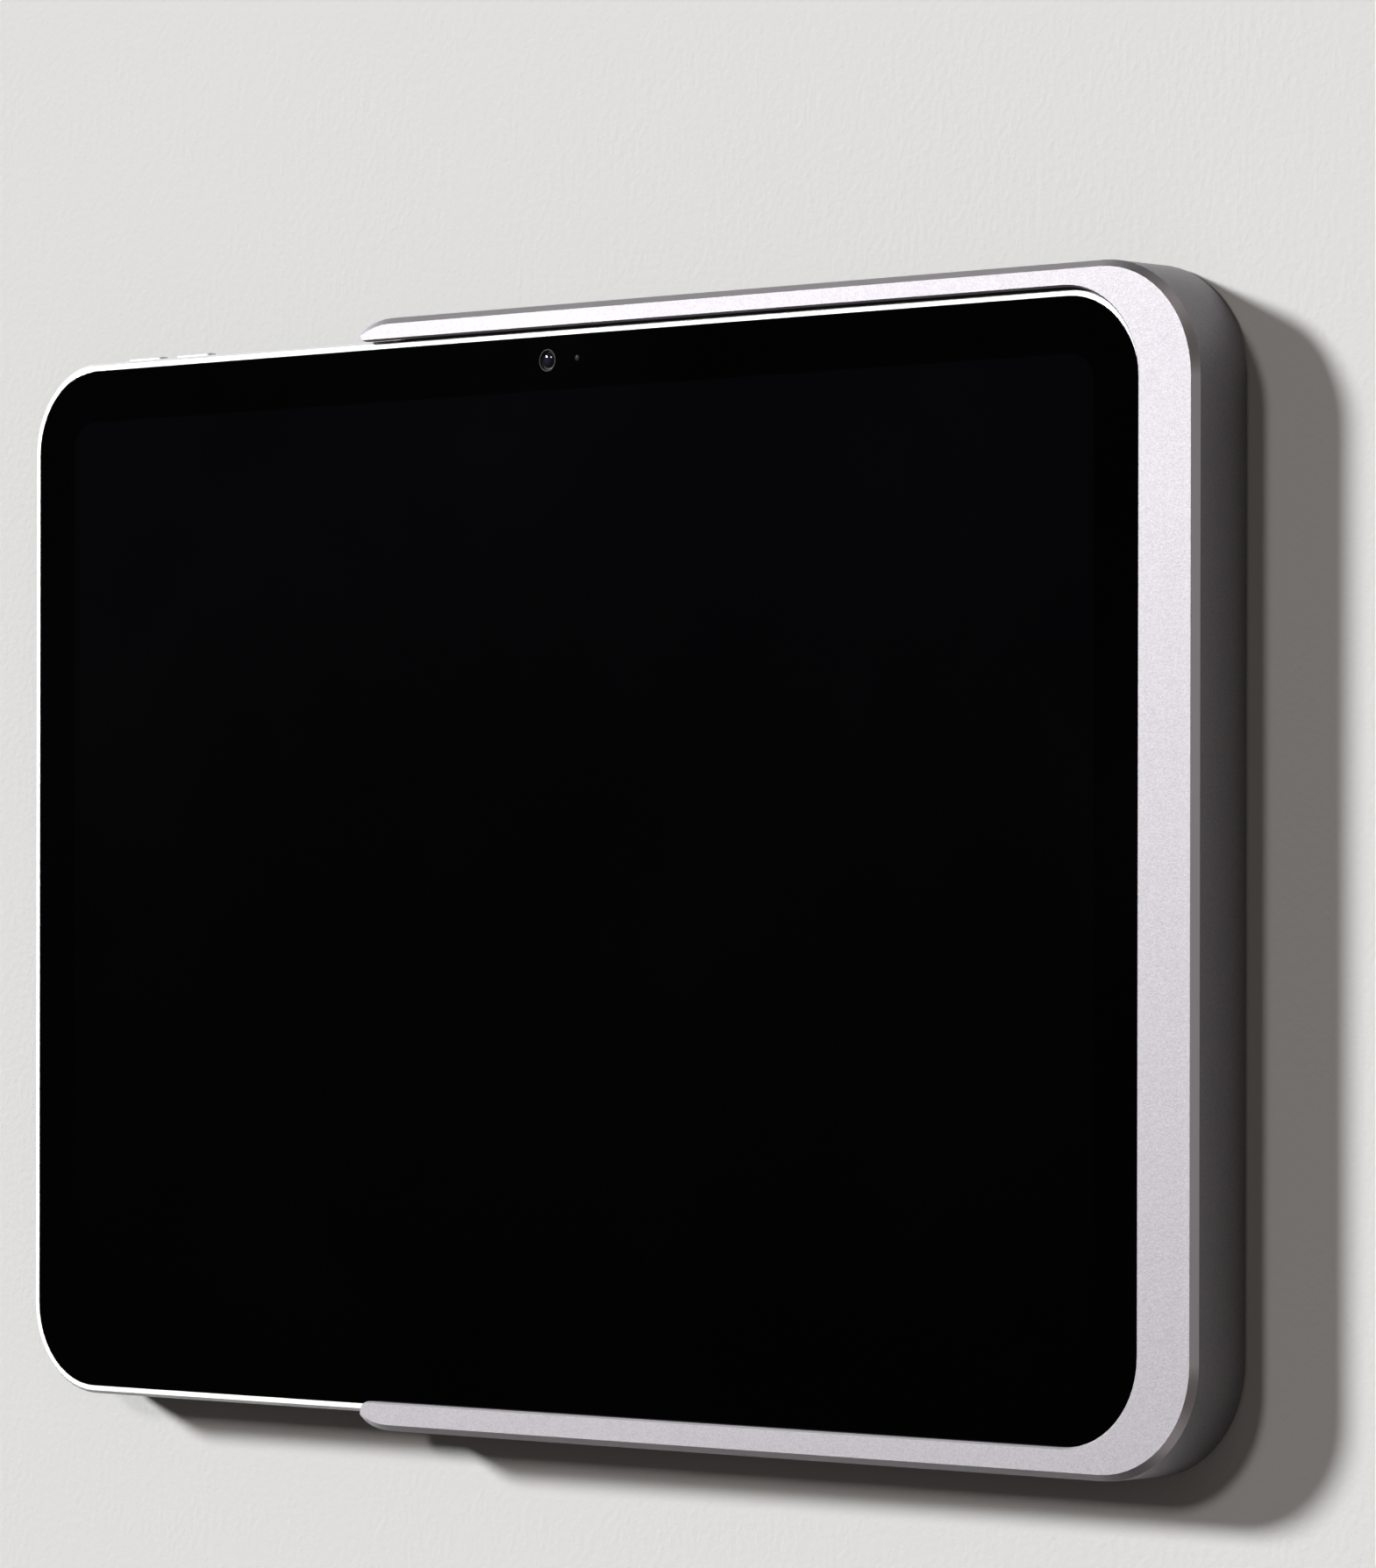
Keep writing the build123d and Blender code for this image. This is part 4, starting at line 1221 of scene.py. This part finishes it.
@dataclass
class ChargingUnit:
    """The board in the right cheek with its parts, and the plug."""

    screw_r: float = 0.9 * MM
    slot_w: float = 0.25 * MM
    drum_r: float = 2.7 * MM
    drum_rise: float = 0.25 * MM
    drum_rim: float = 0.25
    screw_shares: Tuple[float, ...] = (0.27, 0.73)
    chip_size: Tuple[float, float, float] = (0.5 * MM, 0.8 * MM, 1.6 * MM)
    chip_gaps_mm: Tuple[float, ...] = (-27.0, -24.2, -6.5, -3.4, 2.6, 5.0, 24.0)
    strip_w: float = 0.25 * MM
    strip_pitch: float = 0.5 * MM
    strip_count: int = 11
    strip_t: float = 0.06 * MM
    strip_length: float = 3.2 * MM
    strip_start: float = 1.2 * MM
    plug_wall: float = 0.3 * MM
    mask: BoardFinish = BoardFinish("dark_green_board", (0.012, 0.05, 0.028))
    plastic: MouldedFinish = MouldedFinish("black_plastic", (0.02, 0.02, 0.021), 0.48)
    terminal: MouldedFinish = MouldedFinish("grey_terminal_plastic", (0.16, 0.17, 0.17), 0.5)
    gold: ContactFinish = ContactFinish("gold_contact", (0.83, 0.6, 0.26))
    polished: MetalFinish = MetalFinish(
        "stamped_steel", (0.58, 0.57, 0.55), 0.25, Grain.BRUSHED, 0.08, 0.06, 0.002)

    def build(self) -> None:
        """Dress the solids and add their fine parts."""
        plastic = self.plastic.build()
        steel = self.polished.build()
        gold = self.gold.build()
        dress_node("charging_board", self.mask.build())
        dress_node("board_screws", steel)
        dress_node("converter", plastic)
        dress_node("terminal_block", self.terminal.build())
        dress_node("plug_body", plastic)
        dress_node("plug_shell", steel)
        hand_over(self._drum(), "dock", steel)
        hand_over(self._terminal_screws(), "dock", steel)
        hand_over(self._small_parts(), "dock", plastic)
        hand_over(self._plug_strips(), "dock", gold)

    def _drum(self) -> Piece:
        """The choke's round drum, with the step of its winding window."""
        low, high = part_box("converter")
        middle = high.z - (high.y - low.y) / 2
        centre = Vector((low.x, (low.y + high.y) / 2, middle))
        drum = add_round("choke_drum", centre, self.drum_r, self.drum_rise * 2, Axis.X)
        pick(drum, lambda spot, normal: normal.x < -FACES_IT)
        for step in (self.drum_rise / 2, -self.drum_rise / 3):
            bpy.ops.mesh.inset(thickness=self.drum_r * self.drum_rim, depth=0.0)
            shift_picked(Axis.X, step, extrude=True)
        leave()
        face_outwards(drum)
        smooth(drum)
        return drum

    def _terminal_screws(self) -> Piece:
        """The two slotted clamp screws of the terminal."""
        low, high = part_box("terminal_block")
        heads = []
        for share in self.screw_shares:
            centre = Vector((low.x, (low.y + high.y) / 2, low.z + (high.z - low.z) * share))
            head = add_round("terminal_screws", centre, self.screw_r, self.screw_r * 0.5,
                             Axis.X, 32)
            reach = Vector((self.screw_r, self.slot_w, self.screw_r * 1.2))
            slot = add_block("slot", centre - reach - Vector((self.screw_r, 0.0, 0.0)),
                             centre + reach - Vector((self.screw_r * 1.1, 0.0, 0.0)))
            cut_away(head, slot)
            heads.append(head)
        return joined(heads)

    def _small_parts(self) -> Piece:
        """The small chips soldered along the board, all copies of one."""
        low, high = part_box("charging_board")
        middle = (low + high) / 2
        size = Vector(self.chip_size)
        chips = []
        for gap in self.chip_gaps_mm:
            corner = Vector((low.x - size.x, middle.y - size.y / 2, middle.z + gap * MM))
            chips.append(add_block("board_chips", corner, corner + size))
        chip = joined(chips)
        round_edges(chip, size.x * 0.12, 2)
        smooth(chip)
        return chip

    def _plug_strips(self) -> Piece:
        """The contact strips on the plug shell's inner walls, one row copied to both."""
        low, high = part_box("plug_shell")
        middle = (low + high) / 2
        inner = (high.y - low.y) / 2 - self.plug_wall
        start = middle.z - self.strip_pitch * (self.strip_count - 1) / 2 - self.strip_w / 2
        corner = Vector((low.x + self.strip_start, middle.y - inner, start))
        strip = add_block("plug_contacts", corner,
                          corner + Vector((self.strip_length, self.strip_t, self.strip_w)))
        pick(strip, lambda spot, normal: normal.y > FACES_IT)
        bpy.ops.mesh.inset(thickness=self.strip_w * 0.2, depth=0.0)
        shift_picked(Axis.Y, self.strip_t * 0.5)
        leave()
        repeat(strip, (0.0, 0.0, self.strip_pitch), self.strip_count)
        other = strip.copy()
        other.data = strip.data.copy()
        bpy.context.scene.collection.objects.link(other)
        choose(other)
        bpy.ops.transform.rotate(value=math.pi, orient_axis="X", center_override=middle)
        settle(other)
        return joined([strip, other])


# The tablet


@dataclass
class TabletFront:
    """The black front glass, the camera and the light sensor behind it."""

    corner: float = 14.02 * MM
    corner_faces: int = 24
    edge: float = 0.05 * MM
    active_half: Tuple[float, float] = (114.1 * MM, 79.35 * MM)
    active_corner: float = 4.5 * MM
    hole_r: float = 1.85 * MM
    bezel_w: float = 0.5 * MM
    bezel_depth: float = 0.45 * MM
    dome_r: float = 1.3 * MM
    dome_rise: float = 0.45 * MM
    sensor_r: float = 0.5 * MM
    sensor_depth: float = 0.2 * MM
    sunk: float = 0.03 * MM
    edge_run: float = 1.2
    edge_drop: float = 0.6
    bezel_back: float = 0.2 * MM
    bezel_play: float = 0.02 * MM
    bezel_flat: float = 0.35
    bezel_step: float = 0.3
    bezel_slope: float = 0.5
    sensor_play: float = 0.01 * MM
    sensor_round: float = 0.03 * MM
    satin: MouldedFinish = MouldedFinish(
        "camera_bezel_black", (0.018, 0.018, 0.018), 0.5, 0.08, 0.1, 0.002, 0.0, 0.16)

    def build(self) -> None:
        """Build the glass with its openings, then the camera and the sensor."""
        low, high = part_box("cover_glass")
        centre = (low + high) / 2
        camera_low, camera_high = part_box("front_camera")
        camera = (camera_low + camera_high) / 2
        sensor_low, sensor_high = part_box("light_sensor")
        sensor = (sensor_low + sensor_high) / 2
        camera.y = low.y
        sensor.y = low.y
        finish = ScreenGlass("black_front_glass", (0.00006, 0.00006, 0.00006),
                             (0.0012, 0.0012, 0.0019), (centre.x, centre.z), self.active_half,
                             self.active_corner)
        glass = self._glass(low, high)
        depth = (high.y - low.y) * 4
        cut_away(glass, add_round("hole", camera, self.hole_r, depth, Axis.Y, 64))
        cut_away(glass, add_round("hole", sensor, self.sensor_r, depth, Axis.Y, 32))
        smooth(glass)
        flatten_faces(glass)
        hand_over(glass, "tablet", finish.build(), ["cover_glass"])
        hand_over(self._bezel(camera), "tablet", self.satin.build())
        lens = LensFinish("camera_lens", (0.004, 0.004, 0.006), (0.02, 0.022, 0.04),
                          (camera.x, camera.z), self.dome_r)
        hand_over(self._dome(camera), "tablet", lens.build())
        window = LensFinish("sensor_window", (0.003, 0.003, 0.004), (0.009, 0.009, 0.012),
                            (sensor.x, sensor.z), self.sensor_r, 0.45, 0.0, 0.06)
        hand_over(self._sensor(sensor), "tablet", window.build())

    def _glass(self, low: Vector, high: Vector) -> Piece:
        """The glass with round corners and a fine rounding along its front edge."""
        glass = add_block("front_glass", low, high)
        pick_edges(glass, lambda a, b: abs(a.y - b.y) > abs(a.x - b.x) + abs(a.z - b.z))
        bpy.ops.mesh.bevel(offset=self.corner, segments=self.corner_faces, affect="EDGES",
                           offset_type="OFFSET", profile=0.5)
        leave()
        front = low.y + TOUCHING
        pick(glass, lambda spot, normal: spot.y < front)
        bpy.ops.mesh.inset(thickness=self.edge * self.edge_run, depth=0.0)
        leave()
        self._sink_rim(glass, low.y, self.edge * self.edge_drop)
        return glass

    def _sink_rim(self, glass: Piece, front: float, depth: float) -> None:
        """Lower the outermost ring of points on the front, which makes the rounded edge."""
        low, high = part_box("cover_glass")
        reach_x = (high.x - low.x) / 2
        reach_z = (high.z - low.z) / 2
        centre = (low + high) / 2

        def outermost(a: Vector, b: Vector) -> bool:
            """Whether an edge lies on the outer outline at the front."""
            return all(abs(p.y - front) < TOUCHING
                       and self._past(p, centre, reach_x, reach_z) > -10 * TOUCHING
                       for p in (a, b))

        pick_edges(glass, outermost)
        shift_picked(Axis.Y, depth)
        leave()

    def _past(self, point: Vector, centre: Vector, reach_x: float, reach_z: float) -> float:
        """How far a point lies outside the rounded outline."""
        off_x = max(abs(point.x - centre.x) - (reach_x - self.corner), 0.0)
        off_z = max(abs(point.z - centre.z) - (reach_z - self.corner), 0.0)
        return math.hypot(off_x, off_z) - self.corner

    def _bezel(self, camera: Vector) -> Piece:
        """The ring round the lens, sloping down to it."""
        length = self.bezel_depth + self.bezel_back
        middle = camera + Vector((0.0, self.sunk + length / 2, 0.0))
        ring = add_round("camera_bezel", middle, self.hole_r - self.bezel_play, length,
                         Axis.Y, 64)
        pick(ring, lambda spot, normal: normal.y < -FACES_IT)
        bpy.ops.mesh.inset(thickness=self.bezel_w * self.bezel_flat, depth=0.0)
        shift_picked(Axis.Y, self.bezel_depth * self.bezel_step, extrude=True)
        bpy.ops.mesh.inset(thickness=self.bezel_w * (1 - self.bezel_flat), depth=0.0)
        shift_picked(Axis.Y, self.bezel_depth * self.bezel_slope)
        leave()
        smooth(ring, 40.0)
        return ring

    def _dome(self, camera: Vector) -> Piece:
        """The front lens, a shallow dome cut from a ball."""
        deselect_all()
        base = camera.y + self.sunk + self.bezel_depth
        bpy.ops.mesh.primitive_uv_sphere_add(segments=48, ring_count=32, radius=self.dome_r,
                                             location=(camera.x, base, camera.z),
                                             rotation=Axis.Y.value)
        dome = just_added("camera_dome")
        settle(dome)
        pick(dome, lambda spot, normal: True)
        bpy.ops.mesh.bisect(plane_co=(camera.x, base, camera.z), plane_no=(0.0, 1.0, 0.0),
                            use_fill=True, clear_outer=True)
        leave()
        edit_all(dome)
        bpy.ops.transform.resize(value=(1.0, self.dome_rise / self.dome_r, 1.0),
                                 center_override=(camera.x, base, camera.z))
        leave()
        smooth(dome)
        return dome

    def _sensor(self, sensor: Vector) -> Piece:
        """The light sensor's small window, set into the glass."""
        middle = sensor + Vector((0.0, self.sunk + self.sensor_depth / 2, 0.0))
        window = add_round("sensor_window", middle, self.sensor_r - self.sensor_play,
                           self.sensor_depth, Axis.Y, 32)
        round_edges(window, self.sensor_round, 2)
        smooth(window)
        return window


@dataclass
class TabletShell:
    """The aluminium shell with its buttons, holes and rear camera."""

    edge: float = 0.12 * MM
    gauze_r: float = 0.6 * MM
    gauze_t: float = 0.15 * MM
    gauze_depth: float = 0.8 * MM
    hole_pitch: float = 2.6 * MM
    holes: int = 5
    gauze_rim: float = 0.4
    gauze_dish: float = 0.2
    metal: MetalFinish = MetalFinish(
        "fine_tablet_metal", (0.74, 0.74, 0.745), 0.62, Grain.BLASTED, 0.12, 0.04, 0.003)
    ring: MetalFinish = MetalFinish(
        "polished_ring_metal", (0.66, 0.66, 0.67), 0.2, Grain.BRUSHED, 0.06, 0.04, 0.001)
    gauze: MetalFinish = MetalFinish(
        "speaker_gauze", (0.12, 0.12, 0.12), 0.5, Grain.BRUSHED, 0.1, 0.5, 0.02)

    def build(self) -> None:
        """Build and dress the shell and what sits in it."""
        metal = self.metal.build()
        shell = refined_copy("tablet_housing", "tablet_shell", self.edge)
        hand_over(shell, "tablet", metal, ["tablet_housing"])
        for node in ("volume_up_button", "volume_down_button", "power_button"):
            dress_node(node, metal)
        dress_node("rear_camera_ring", self.ring.build())
        low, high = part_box("rear_camera_lens")
        centre = (low + high) / 2
        lens = LensFinish("rear_lens", (0.004, 0.004, 0.005), (0.012, 0.016, 0.03),
                          (centre.x, centre.z), (high.x - low.x) / 2)
        dress_node("rear_camera_lens", lens.build())
        gauze = self.gauze.build()
        for left in (True, False):
            hand_over(self._gauze(left), "tablet", gauze)

    def _gauze(self, left: bool) -> Piece:
        """The fine mesh behind the speaker holes of one short edge.

        Args:
            left: Whether it is the left edge.

        Returns:
            One piece with a disc in each hole.
        """
        low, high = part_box("tablet_housing")
        x = low.x + self.gauze_depth if left else high.x - self.gauze_depth
        y = (low.y + high.y) / 2
        name = "left_speaker_gauze" if left else "right_speaker_gauze"
        rows = []
        for speaker in ("speaker_left_lower", "speaker_left_upper"):
            bottom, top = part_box(speaker)
            start = (bottom.z + top.z) / 2 - self.hole_pitch * (self.holes - 1) / 2
            disc = add_round(name, Vector((x, y, start)), self.gauze_r, self.gauze_t, Axis.X, 16)
            pick(disc, lambda spot, normal: abs(normal.x) > FACES_IT)
            bpy.ops.mesh.inset(thickness=self.gauze_r * self.gauze_rim,
                               depth=self.gauze_t * self.gauze_dish)
            leave()
            repeat(disc, (0.0, 0.0, self.hole_pitch), self.holes)
            rows.append(disc)
        both = joined(rows)
        smooth(both)
        return both


@dataclass
class TabletInside:
    """What the tablet holds: display, cells, boards, speakers and switches."""

    display: FoilFinish = FoilFinish("display_back", (0.03, 0.03, 0.034), 20.0)
    cell: FoilFinish = FoilFinish("battery_wrap", (0.05, 0.052, 0.055))
    ribbon: ContactFinish = ContactFinish("ribbon_film", (0.32, 0.16, 0.04), 0.4)
    board: BoardFinish = BoardFinish("black_board", (0.018, 0.022, 0.03), 0.4)
    gasket: MouldedFinish = MouldedFinish("bonding_foam", (0.02, 0.02, 0.02), 0.8)
    can: MetalFinish = MetalFinish(
        "tinned_can", (0.6, 0.6, 0.58), 0.35, Grain.PLATED, 0.5, 0.08, 0.004)

    def build(self) -> None:
        """Dress every inner node."""
        plastic = bpy.data.materials["black_plastic"]
        steel = bpy.data.materials["stamped_steel"]
        board = self.board.build()
        cell = self.cell.build()
        dress_node("display_gasket", self.gasket.build())
        dress_node("display_panel", self.display.build())
        dress_node("display_ribbon", self.ribbon.build())
        dress_node("board_shield", self.can.build())
        dress_node("edge_contacts", bpy.data.materials["gold_contact"])
        for node in ("battery_left", "battery_right"):
            dress_node(node, cell)
        for node in ("logic_board", "port_board"):
            dress_node(node, board)
        for node in ("port_shell", "volume_switches", "volume_bracket", "power_switch",
                     "power_bracket"):
            dress_node(node, steel)
        for node in ("front_camera", "light_sensor", "rear_camera_module", "processor",
                     "port_tongue", "speaker_left_upper", "speaker_left_lower",
                     "speaker_right_upper", "speaker_right_lower"):
            dress_node(node, plastic)
        dress_node("case_magnets", bpy.data.materials["nickel_plate"])


def main() -> None:
    """Build every sub-assembly in order, and report each piece."""
    logging.basicConfig(level=logging.INFO, format="%(message)s")
    bpy.context.scene.view_settings.view_transform = "Standard"
    Studio().build()
    Wall().build()
    DockShell().build()
    SlotLinings().build()
    ChargingUnit().build()
    TabletFront().build()
    TabletShell().build()
    TabletInside().build()


if __name__ == "__main__":
    main()
